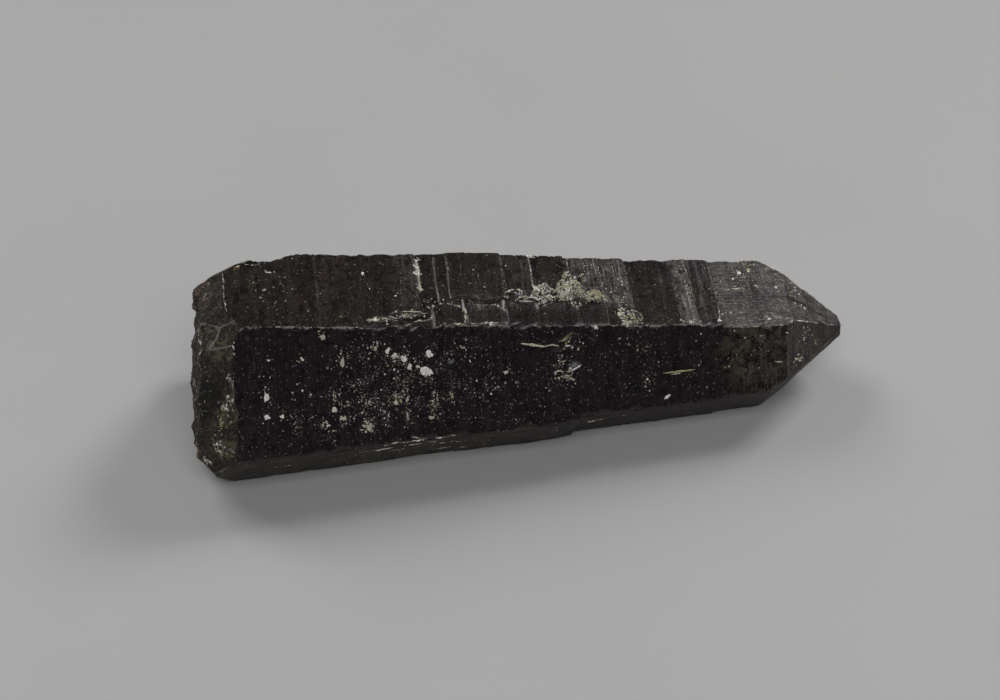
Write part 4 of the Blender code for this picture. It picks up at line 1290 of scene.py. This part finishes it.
def new_material(name):
    """An empty node material, its tree, and a point's place on the object in millimetres."""
    material = bpy.data.materials.new(name)
    material.use_nodes = True
    tree = material.node_tree
    tree.nodes.clear()
    metres = add_node(tree, "TexCoord", output="Object")
    return material, tree, add_node(tree, "Mapping", {"Vector": metres, "Scale": (1 / MM, 1 / MM, 1 / MM)})


def morion_material(colours):
    """Morion: smoky quartz so dark that it is opaque. Its etched growth faces are satin and not glassy.

    Purple-black in front and brown-black above, clouded over 3 mm and finely lined round the crystal; paler
    where it is frosted; olive to rosy on the shell-like fractures; cream where crumbs have stained it. The
    finest grit of the real surface is far under 0.1 mm and is drawn at 0.2 mm, to show at all.
    """
    material, tree, place = new_material("morion quartz")
    lie = add_node(tree, "Attribute", output="Vector", attribute_name="lie")
    round_it = add_node(tree, "Mapping", {"Vector": lie, "Scale": (1.0, 0.08, 1.0)})
    along_it = add_node(tree, "Mapping", {"Vector": lie, "Scale": (0.08, 1.0, 1.0)})
    mask = {key: add_node(tree, "Attribute", output="Fac", attribute_name=key) for key in MASKS}
    noises = {
        # coordinates in mm, feature size in mm, detail, roughness
        "clouds": (place, 3.0, 4.0, 0.6),
        "blotches": (place, 1.3, 5.0, 0.62),
        "fine": (place, 0.5, 6.0, 0.65),
        "grit": (place, 0.2, 3.0, 0.7),
        "spots": (place, 0.42, 2.0, 0.7),
        "lines": (round_it, 0.35, 4.0, 0.62),
        "bands": (round_it, 1.3, 3.0, 0.6),
        "streaks": (along_it, 0.4, 4.0, 0.65),
        "scratches": (along_it, 0.3, 2.0, 0.6),
    }
    noise = {}
    for name, (vector, size, detail, rough) in noises.items():
        inputs = {"Vector": vector, "Scale": 1 / size, "Detail": detail, "Roughness": rough}
        noise[name] = add_node(tree, "TexNoise", inputs)
    inputs = {0: mask["streaky"], 2: noise["lines"], 3: noise["streaks"]}
    brushed = add_node(tree, "Mix", inputs, data_type="FLOAT")
    sums = {
        # a mask, how much it counts, and the noise that breaks it up
        "worn": (mask["worn"], 0.60, noise["grit"]),
        "crust": (mask["crust"], 0.80, noise["fine"]),
        "stain": (mask["stain"], 0.50, noise["grit"]),
        "specks": (mask["dusty"], 0.05, noise["spots"]),
        "frost": (brushed, 0.9, noise["blotches"]),
        "flecks": (brushed, 1.3, noise["fine"]),
    }
    total = {}
    for name, (first, weight, second) in sums.items():
        total[name] = add_node(tree, "Math", {0: first, 1: weight, 2: second}, operation="MULTIPLY_ADD")
    ranges = {
        # what is read, where the layer begins and where it is whole, and how much it covers there
        "clouds": (noise["clouds"], 0.38, 0.72, 0.45),
        "bands": (noise["bands"], 0.44, 0.68, 0.50),
        "lines": (noise["lines"], 0.54, 0.70, 0.50),
        "dark": (noise["blotches"], 0.52, 0.36, 0.75),
        "grit": (noise["grit"], 0.56, 0.72, 0.35),
        "streaks": (noise["streaks"], 0.50, 0.62, mask["streaky"]),
        "frost": (total["frost"], 0.70, 1.16, mask["frost"]),
        "mottled": (noise["fine"], 0.56, 0.44, 1.0),
        "flecks": (total["flecks"], 1.20, 1.42, mask["frost"]),
        "fracture": (noise["fine"], 0.40, 0.62, 1.0),
        "olive": (noise["blotches"], 0.46, 0.60, mask["olive"]),
        "rosy": (noise["fine"], 0.42, 0.62, mask["rosy"]),
        "worn": (total["worn"], 0.84, 1.02, 0.7),
        "crust": (total["crust"], 0.85, 1.15, 0.9),
        "grain": (noise["grit"], 0.42, 0.60, 1.0),
        "stain": (total["stain"], 0.86, 1.04, 0.75),
        "specks": (total["specks"], 0.66, 0.72, 0.60),
        "scratches": (noise["scratches"], 0.66, 0.74, mask["streaky"]),
    }
    share = {}
    for name, (source, begins, whole, most) in ranges.items():
        inputs = {0: source, 1: begins, 2: whole, 4: most}
        share[name] = add_node(tree, "MapRange", inputs, interpolation_type="SMOOTHSTEP")
    pairs = {
        # a colour that changes from the first to the second with a share
        "black": (mask["brown"], "purple_black", "brown_black"),
        "grey": (mask["brown"], "purple_grey", "brown_grey"),
        "pale": (mask["brown"], "purple_pale", "brown_pale"),
        "frost": (share["mottled"], "frost_purple", "frost_brown"),
        "fracture": (share["fracture"], "fracture_dark", "fracture_olive"),
        "crust": (share["grain"], "crust_brown", "cream"),
    }
    tint = {}
    for name, (where, first, second) in pairs.items():
        inputs = {0: where, 6: colours[first], 7: colours[second]}
        tint[name] = add_node(tree, "Mix", inputs, output=2, data_type="RGBA")
    layers = (
        # from the lowest to the uppermost: how much shows, and its colour
        (share["clouds"], tint["grey"]),
        (share["bands"], tint["grey"]),
        (share["lines"], tint["pale"]),
        (share["grit"], colours["grain_pale"]),
        (share["dark"], colours["black"]),
        (share["streaks"], colours["streak"]),
        (share["frost"], tint["frost"]),
        (share["flecks"], colours["fleck"]),
        (mask["fracture"], tint["fracture"]),
        (share["olive"], colours["olive_light"]),
        (share["rosy"], colours["rosy_brown"]),
        (share["specks"], colours["speck"]),
        (share["scratches"], colours["speck"]),
        # painted shade: black in crevices, on the crease, in a pit and in the break's valley, and darker
        # patches
        (mask["hollow"], colours["black"]),
        (share["worn"], colours["worn_edge"]),
        (share["crust"], tint["crust"]),
        (share["stain"], colours["cream_stain"]),
    )
    body = tint["black"]
    for shown, colour in layers:
        body = add_node(tree, "Mix", {0: shown, 6: body, 7: colour}, output=2, data_type="RGBA")
    matte = add_node(tree, "Math", {0: mask["fracture"], 1: mask["streaky"]}, operation="MAXIMUM")
    for name in ("frost", "worn", "crust", "stain"):
        matte = add_node(tree, "Math", {0: matte, 1: share[name]}, operation="MAXIMUM")
    satin = add_node(tree, "MapRange", {0: noise["fine"], 1: 0.3, 2: 0.7, 3: 0.17, 4: 0.33})
    rough = add_node(tree, "MapRange", {0: matte, 3: satin, 4: 0.72})
    heights = (
        # what the bump adds up, and how much each counts
        (noise["lines"], 0.25),
        (noise["fine"], 0.35),
        (noise["grit"], 0.2),
        (noise["spots"], mask["fracture"]),
    )
    height = 0.0
    for source, weight in heights:
        height = add_node(tree, "Math", {0: source, 1: weight, 2: height}, operation="MULTIPLY_ADD")
    bump = add_node(tree, "Bump", {"Strength": 0.6, "Distance": 0.1 * MM, "Height": height})
    inputs = {"Base Color": body, "Roughness": rough, "Normal": bump, "IOR": 1.544, "Specular IOR Level": 0.3}
    add_node(tree, "OutputMaterial", {"Surface": add_node(tree, "BsdfPrincipled", inputs)})
    return material


def mineral_material(colours):
    """Crumbs of feldspar and bruised quartz: matte, chalky, from brown through yellow and cream to white.

    The tone of each crumb picks its colour, and 0.25 mm grit mottles it: where the grit is low, in the
    dips of the bump, it is darkened towards crumb_shadow as painted shade.
    """
    material, tree, place = new_material(MINERAL)
    tone = add_node(tree, "Attribute", output="Fac", attribute_name="tone")
    grit = add_node(tree, "TexNoise", {"Vector": place, "Scale": 1 / 0.25, "Detail": 4.0})
    by_tone = add_node(tree, "ValToRGB", {"Fac": tone})
    elements = by_tone.node.color_ramp.elements
    for number, (name, position) in enumerate(TONES.items()):
        element = elements[number] if number < 2 else elements.new(position)
        element.position, element.color = position, colours[name]
    # painted shade: the grit's low parts are darkened towards crumb_shadow
    grit_shade = add_node(tree, "MapRange", {0: grit, 1: 0.35, 2: 0.60, 3: 0.5, 4: 0.0})
    inputs = {0: grit_shade, 6: by_tone, 7: colours["crumb_shadow"]}
    body = add_node(tree, "Mix", inputs, output=2, data_type="RGBA")
    rough = add_node(tree, "MapRange", {0: grit, 1: 0.3, 2: 0.7, 3: 0.45, 4: 0.75})
    bump = add_node(tree, "Bump", {"Strength": 0.5, "Distance": 0.05 * MM, "Height": grit})
    inputs = {"Base Color": body, "Roughness": rough, "Normal": bump}
    add_node(tree, "OutputMaterial", {"Surface": add_node(tree, "BsdfPrincipled", inputs)})
    return material


def table_material(colour):
    """Painted board, rolled on and worn matte: pale grey with faint clouds 60 mm across and a fine grain."""
    material, tree, place = new_material("painted board")
    clouds = add_node(tree, "TexNoise", {"Vector": place, "Scale": 1 / 60, "Detail": 3.0})
    grain = add_node(tree, "TexNoise", {"Vector": place, "Scale": 1 / 0.8, "Detail": 3.0})
    cloudy = add_node(tree, "MapRange", {0: clouds, 1: 0.3, 2: 0.8, 3: 0.0, 4: 0.25})
    inputs = {0: cloudy, 6: colour, 7: linear(TABLE_CLOUD)}
    body = add_node(tree, "Mix", inputs, output=2, data_type="RGBA")
    bump = add_node(tree, "Bump", {"Strength": 0.15, "Distance": 0.1 * MM, "Height": grain})
    inputs = {"Base Color": body, "Roughness": 0.6, "Normal": bump}
    add_node(tree, "OutputMaterial", {"Surface": add_node(tree, "BsdfPrincipled", inputs)})
    return material


def colour_property(name, colour, description):
    """A colour that a user may change, with its default from sRGB hex."""
    return bpy.props.FloatVectorProperty(
        name=name, description=description, default=linear(colour), subtype="COLOR", size=4, min=0, max=1
    )


def size_property(name, size, description):
    """A length in metres that a user may change."""
    unit_settings = {"precision": 5, "subtype": "DISTANCE", "unit": "LENGTH"}
    return bpy.props.FloatProperty(name=name, description=description, default=size, min=0, **unit_settings)


def count_property(name, count, description):
    """A number of pieces that a user may change."""
    return bpy.props.IntProperty(name=name, description=description, default=count, min=0)


class MorionColours(bpy.types.PropertyGroup):
    """Colours of the crystal and the minerals on it."""

    brown_black: colour_property("Brown black", "#1c1612", "Upper faces of the crystal")
    purple_black: colour_property("Purple black", "#1b1417", "Front faces of the crystal")
    cream: colour_property("Cream", "#d6d0b8", "Most of the mineral crumbs")
    white: colour_property("White", "#f9f7f2", "The whitest crumbs and flakes")
    table: colour_property("Table", "#b6b5b4", "The board under the crystal")


class MorionSizes(bpy.types.PropertyGroup):
    """Amounts and sizes of what is strewn on the crystal."""

    dust: count_property("Dust", 4000, "How many fine specks lie on the faces")
    dust_size: size_property("Dust size", 0.50 * MM, "Width of the largest speck")
    crust_grains: count_property("Crust grains", 2000, "How many grains the crust has")
    crust_grain_size: size_property("Crust grain size", 0.44 * MM, "Width of the largest grain of the crust")
    flake_thickness: size_property("Flake thickness", 0.09 * MM, "Half the thickness of a bruised flake")
    table_width: size_property("Table width", 4.0, "Side of the square board")


def material_colours():
    """Every colour of the crystal's materials by name, as linear values."""
    chosen = bpy.context.scene.morion_colours
    colours = {name: linear(colour) for name, colour in COLOURS.items()}
    for name in ("brown_black", "purple_black", "cream", "white"):
        colours[name] = tuple(getattr(chosen, name))
    return colours


def mineral():
    """The crumbs' material, made once."""
    return bpy.data.materials.get(MINERAL) or mineral_material(material_colours())


def add_crumbs(name, groups, seed, **shape):
    """One joined piece from groups of crumbs, each as crumbs_on gives it. None reaches below the board."""
    middles, frames, sizes, tones = [np.concatenate(part) for part in zip(*groups)]
    points, faces, tones = lump_parts(middles, frames, sizes, tones, seed, **shape)
    points[:, 2] = np.maximum(points[:, 2], 0)
    return add_piece(name, points, faces, mineral(), {"tone": tones}, False)


class MORION_OT_skin(bpy.types.Operator):
    """Make the crystal's skin in place of its solid"""

    bl_idname = "morion.skin"
    bl_label = "Skin"

    def execute(self, context):
        points, faces, values = skin_parts()
        skin = add_piece("crystal_skin", points, faces, morion_material(material_colours()), values, True)
        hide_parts(NODE)
        return {"FINISHED"}


class MORION_OT_growth_minerals(bpy.types.Operator):
    """Line the growth steps, crevices and ridges with mineral crumbs"""

    bl_idname = "morion.growth_minerals"
    bl_label = "Growth Line Minerals"

    def execute(self, context):
        random = np.random.default_rng(SEAM_SEED)
        groups = []
        for face, lines in SEAMS.items():
            for tone, width, cover, points in lines:
                length = np.linalg.norm(np.diff(np.array(points, float), axis=0), axis=1).sum()
                count = max(2, int(cover * (length + width) * width / CRUMB_AREA))
                places, swell = along_line(points, count, random)
                spread = np.maximum(width * swell - SEAM_TAKEN, SEAM_LEAST)
                places = places + random.normal(0, SEAM_SPREAD, places.shape) * spread[:, None]
                sizes = min(width, CRUMB_WIDEST) * swell * random.uniform(*CRUMB_SHARES, count)
                tones = np.clip(TONES[tone] + random.normal(0, SEAM_TONE_SPREAD, count), 0, 1)
                groups.append(crumbs_on(face, places, sizes, tones, random))
        add_crumbs("growth_line_crumbs", groups, SEAM_SEED)
        return {"FINISHED"}


class MORION_OT_clusters(bpy.types.Operator):
    """Gather crumbs in clusters where the faces are bruised"""

    bl_idname = "morion.clusters"
    bl_label = "Crumb Clusters"

    def execute(self, context):
        random = np.random.default_rng(CLUSTER_SEED)
        groups = []
        for face, clusters in CLUSTERS.items():
            for tones, middle, half, count in clusters:
                places = np.array(middle) + random.normal(0, CLUSTER_SPREAD, (count, 2)) * half
                sizes = CLUSTER_SIZES[0] + CLUSTER_SIZES[1] * random.random(count) ** RARITY
                groups.append(crumbs_on(face, places, sizes, drawn_tones(tones, count, random), random))
        for (face, _tone), rows in FLAKES.items():
            rows = np.repeat(np.array(rows), SATELLITES, axis=0)
            turn = random.uniform(0, 2 * np.pi, len(rows))
            far = random.uniform(*SATELLITE_REACH, len(rows))
            places = rows[:, :2] + np.column_stack([np.cos(turn), np.sin(turn)]) * rows[:, 2:] * far[:, None]
            sizes = random.uniform(*SATELLITE_SIZES, len(rows))
            groups.append(crumbs_on(face, places, sizes, drawn_tones(BRIGHT, len(rows), random), random))
        add_crumbs("crumb_clusters", groups, CLUSTER_SEED, around=5)
        return {"FINISHED"}


class MORION_OT_break_grains(bpy.types.Operator):
    """Stud the broken end with splintery grains"""

    bl_idname = "morion.break_grains"
    bl_label = "Break Grains"

    def execute(self, context):
        random = np.random.default_rng(BREAK_GRAIN_SEED)
        turn = random.uniform(0, 2 * np.pi, BREAK_GRAINS)
        reach = break_outline(np.stack([np.cos(turn), np.sin(turn)]))
        far = reach * BREAK_GRAIN_REACH * random.random(BREAK_GRAINS) ** BREAK_GRAIN_GATHER
        places = np.column_stack([np.cos(turn), np.sin(turn)]) * far[:, None]
        sizes = BREAK_GRAIN_SIZES[0] + BREAK_GRAIN_SIZES[1] * random.random(BREAK_GRAINS) ** RARITY
        tones = drawn_tones(BREAK_TONES, BREAK_GRAINS, random)
        lie = BREAK_GRAIN_FLATNESS, BREAK_GRAIN_TILT
        add_crumbs("break_grains", [crumbs_on("break", places, sizes, tones, random, *lie)], BREAK_GRAIN_SEED)
        return {"FINISHED"}


class MORION_OT_splinters(bpy.types.Operator):
    """Lay thin splinters on the faces"""

    bl_idname = "morion.splinters"
    bl_label = "Splinters"

    def execute(self, context):
        parts = [splinter_parts(*row) for row in SPLINTERS]
        starts = np.cumsum([0] + [len(points) for points, _faces, _tones in parts])
        points = np.concatenate([part[0] for part in parts])
        faces = np.concatenate([part[1] + start for part, start in zip(parts, starts)]).tolist()
        tones = np.concatenate([part[2] for part in parts])
        add_piece("splinters", points, faces, mineral(), {"tone": tones}, False)
        return {"FINISHED"}


class MORION_OT_crust(bpy.types.Operator):
    """Cover the crust's lumps with grains"""

    bl_idname = "morion.crust"
    bl_label = "Crust Grains"

    def execute(self, context):
        random = np.random.default_rng(GRAIN_SEED)
        count = context.scene.morion_sizes.crust_grains
        tried = np.array(CRUST_MIDDLE) + random.uniform(-1, 1, (GRAIN_TRIES * count, 2)) * CRUST_HALF
        cover = crust_grains(tried[:, 0], tried[:, 1])
        places = tried[random.uniform(0.1, 1.0, len(tried)) < cover][:count]
        largest = context.scene.morion_sizes.crust_grain_size / MM
        sizes = largest * (GRAIN_LEAST + (1 - GRAIN_LEAST) * random.random(len(places)) ** 2)
        whiter = drawn_tones(WHITER_GRAINS, len(places), random)
        yellower = drawn_tones(YELLOWER_GRAINS, len(places), random)
        strayed = places[:, 0] + random.normal(0, CRUST_TURN_SPREAD, len(places))
        tones = np.where(strayed > CRUST_TURN, whiter, yellower)
        crumbs = crumbs_on("top", places, sizes, tones, random, GRAIN_FLATNESS, GRAIN_TILT)
        add_crumbs("crust_grains", [crumbs], GRAIN_SEED)
        return {"FINISHED"}


class MORION_OT_flakes(bpy.types.Operator):
    """Lay the larger bruised flakes on the faces"""

    bl_idname = "morion.flakes"
    bl_label = "Flakes"

    def execute(self, context):
        random = np.random.default_rng(FLAKE_SEED)
        groups = []
        for (face, tone), rows in FLAKES.items():
            rows = np.array(rows)
            places, halves = rows[:, :2], rows[:, 2:] / 2
            middles, frames = on_surface(face, places)
            spin = random.uniform(-FLAKE_SPIN, FLAKE_SPIN, len(rows))[:, None]
            along = np.cos(spin) * frames[..., 0] + np.sin(spin) * frames[..., 1]
            across = np.cross(frames[..., 2], along)
            frames = np.stack([along, across, frames[..., 2]], axis=2)
            thickness = context.scene.morion_sizes.flake_thickness
            sizes = np.column_stack([halves * MM, np.full(len(rows), thickness)])
            tones = np.clip(TONES[tone] + random.normal(0, FLAKE_TONE_SPREAD, len(rows)), 0, 1)
            groups.append((middles, frames, sizes, tones))
        add_crumbs("bruised_flakes", groups, FLAKE_SEED, **FLAKE_SHAPE)
        return {"FINISHED"}


class MORION_OT_dust(bpy.types.Operator):
    """Strew fine specks over the faces, thickest in their fields"""

    bl_idname = "morion.dust"
    bl_label = "Dust"

    def execute(self, context):
        random = np.random.default_rng(DUST_SEED)
        groups = []
        shares = np.array([share for _face, _middle, _half, share in DUST_FIELDS])
        counts = (context.scene.morion_sizes.dust * shares / shares.sum()).astype(int)
        largest = context.scene.morion_sizes.dust_size / MM
        for (face, middle, half, _share), count in zip(DUST_FIELDS, counts):
            places = np.array(middle) + random.normal(0, 0.5, (4 * count, 2)) * half
            from_tip, across = places.T
            patchy = drift(from_tip, across, DUST_PATCH, DUST_SEED)
            places = places[patchy > random.normal(DUST_LEAST, DUST_SPREAD, len(places))][:count]
            from_tip, across = places.T
            low, high = side_ends(NAMES.index(face), from_tip)
            beside = (across > low + DUST_MARGIN) & (across < high - DUST_MARGIN)
            places = places[beside & (from_tip > DUST_FROM_TIP[0]) & (from_tip < DUST_FROM_TIP[1])]
            shares = random.random(len(places)) ** DUST_RARITY
            sizes = largest * (DUST_LEAST_SIZE + (1 - DUST_LEAST_SIZE) * shares)
            tones = drawn_tones(DUST_TONES, len(places), random)
            groups.append(crumbs_on(face, places, sizes, tones, random, DUST_FLATNESS))
        add_crumbs("dust", groups, DUST_SEED, rings=3, around=5)
        return {"FINISHED"}


def add_table(width, material):
    """The square board that the crystal lies on."""
    half = width / 2
    mesh = bpy.data.meshes.new("table")
    corners = [(-half, -half, 0), (half, -half, 0), (half, half, 0), (-half, half, 0)]
    mesh.from_pydata(corners, [], [(0, 1, 2, 3)])
    mesh.materials.append(material)
    table = bpy.data.objects.new("table", mesh)
    bpy.context.scene.collection.objects.link(table)


def add_light(name, place, width, height, power, colour):
    """A soft rectangular light turned towards the crystal."""
    light = bpy.data.lights.new(name, "AREA")
    light.shape, light.size, light.size_y, light.energy = "RECTANGLE", width, height, power
    light.color = linear(colour)[:3]
    lamp = bpy.data.objects.new(name, light)
    lamp.location = place
    lamp.rotation_euler = (Vector(place) - Vector(LIGHT_AIM)).to_track_quat("Z", "Y").to_euler()
    bpy.context.scene.collection.objects.link(lamp)


def add_camera():
    """The camera, looking from its azimuth round the crystal and its elevation above the board."""
    lens = bpy.data.cameras.new("camera")
    lens.lens, lens.sensor_width, lens.clip_start = CAMERA_LENS, CAMERA_SENSOR, 0.01
    camera = bpy.data.objects.new("camera", lens)
    camera.location = CAMERA_PLACE
    azimuth, elevation = np.radians(CAMERA_AZIMUTH), np.radians(CAMERA_ELEVATION)
    level = np.cos(elevation)
    back = np.sin(azimuth) * level, -np.cos(azimuth) * level, np.sin(elevation)
    camera.rotation_euler = Vector(back).to_track_quat("Z", "Y").to_euler()
    bpy.context.scene.collection.objects.link(camera)
    bpy.context.scene.camera = camera


class MORION_OT_stage(bpy.types.Operator):
    """Set the board, the soft lights and the camera"""

    bl_idname = "morion.stage"
    bl_label = "Stage"

    def execute(self, context):
        scene = context.scene
        add_table(scene.morion_sizes.table_width, table_material(tuple(scene.morion_colours.table)))
        for light in LIGHTS:
            add_light(*light)
        world = bpy.data.worlds.new("soft room")
        world.use_nodes = True
        background = world.node_tree.nodes["Background"]
        background.inputs["Color"].default_value = linear(ROOM_COLOUR)
        background.inputs["Strength"].default_value = ROOM_LIGHT
        scene.world = world
        scene.view_settings.view_transform = "Standard"
        add_camera()
        return {"FINISHED"}


OPERATORS = (
    MORION_OT_skin,
    MORION_OT_growth_minerals,
    MORION_OT_clusters,
    MORION_OT_break_grains,
    MORION_OT_splinters,
    MORION_OT_crust,
    MORION_OT_flakes,
    MORION_OT_dust,
    MORION_OT_stage,
)


class MORION_PT_panel(bpy.types.Panel):
    """Lists the crystal's pieces and the sizes and colours that can be changed"""

    bl_label = "Morion"
    bl_idname = "MORION_PT_panel"
    bl_space_type = "VIEW_3D"
    bl_region_type = "UI"
    bl_category = "Morion"

    def draw(self, context):
        for group in (context.scene.morion_sizes, context.scene.morion_colours):
            for name in group.__annotations__:
                self.layout.prop(group, name)
        for operator in OPERATORS:
            self.layout.operator(operator.bl_idname)


CLASSES = (MorionColours, MorionSizes, *OPERATORS, MORION_PT_panel)


def register():
    for cls in CLASSES:
        bpy.utils.register_class(cls)
    bpy.types.Scene.morion_colours = bpy.props.PointerProperty(type=MorionColours)
    bpy.types.Scene.morion_sizes = bpy.props.PointerProperty(type=MorionSizes)


def unregister():
    del bpy.types.Scene.morion_sizes
    del bpy.types.Scene.morion_colours
    for cls in reversed(CLASSES):
        bpy.utils.unregister_class(cls)


def main():
    """Dresses the crystal piece by piece, and sets the stage."""
    register()
    bpy.ops.morion.skin()
    bpy.ops.morion.growth_minerals()
    bpy.ops.morion.clusters()
    bpy.ops.morion.break_grains()
    bpy.ops.morion.splinters()
    bpy.ops.morion.crust()
    bpy.ops.morion.flakes()
    bpy.ops.morion.dust()
    bpy.ops.morion.stage()


if __name__ == "__main__":
    main()
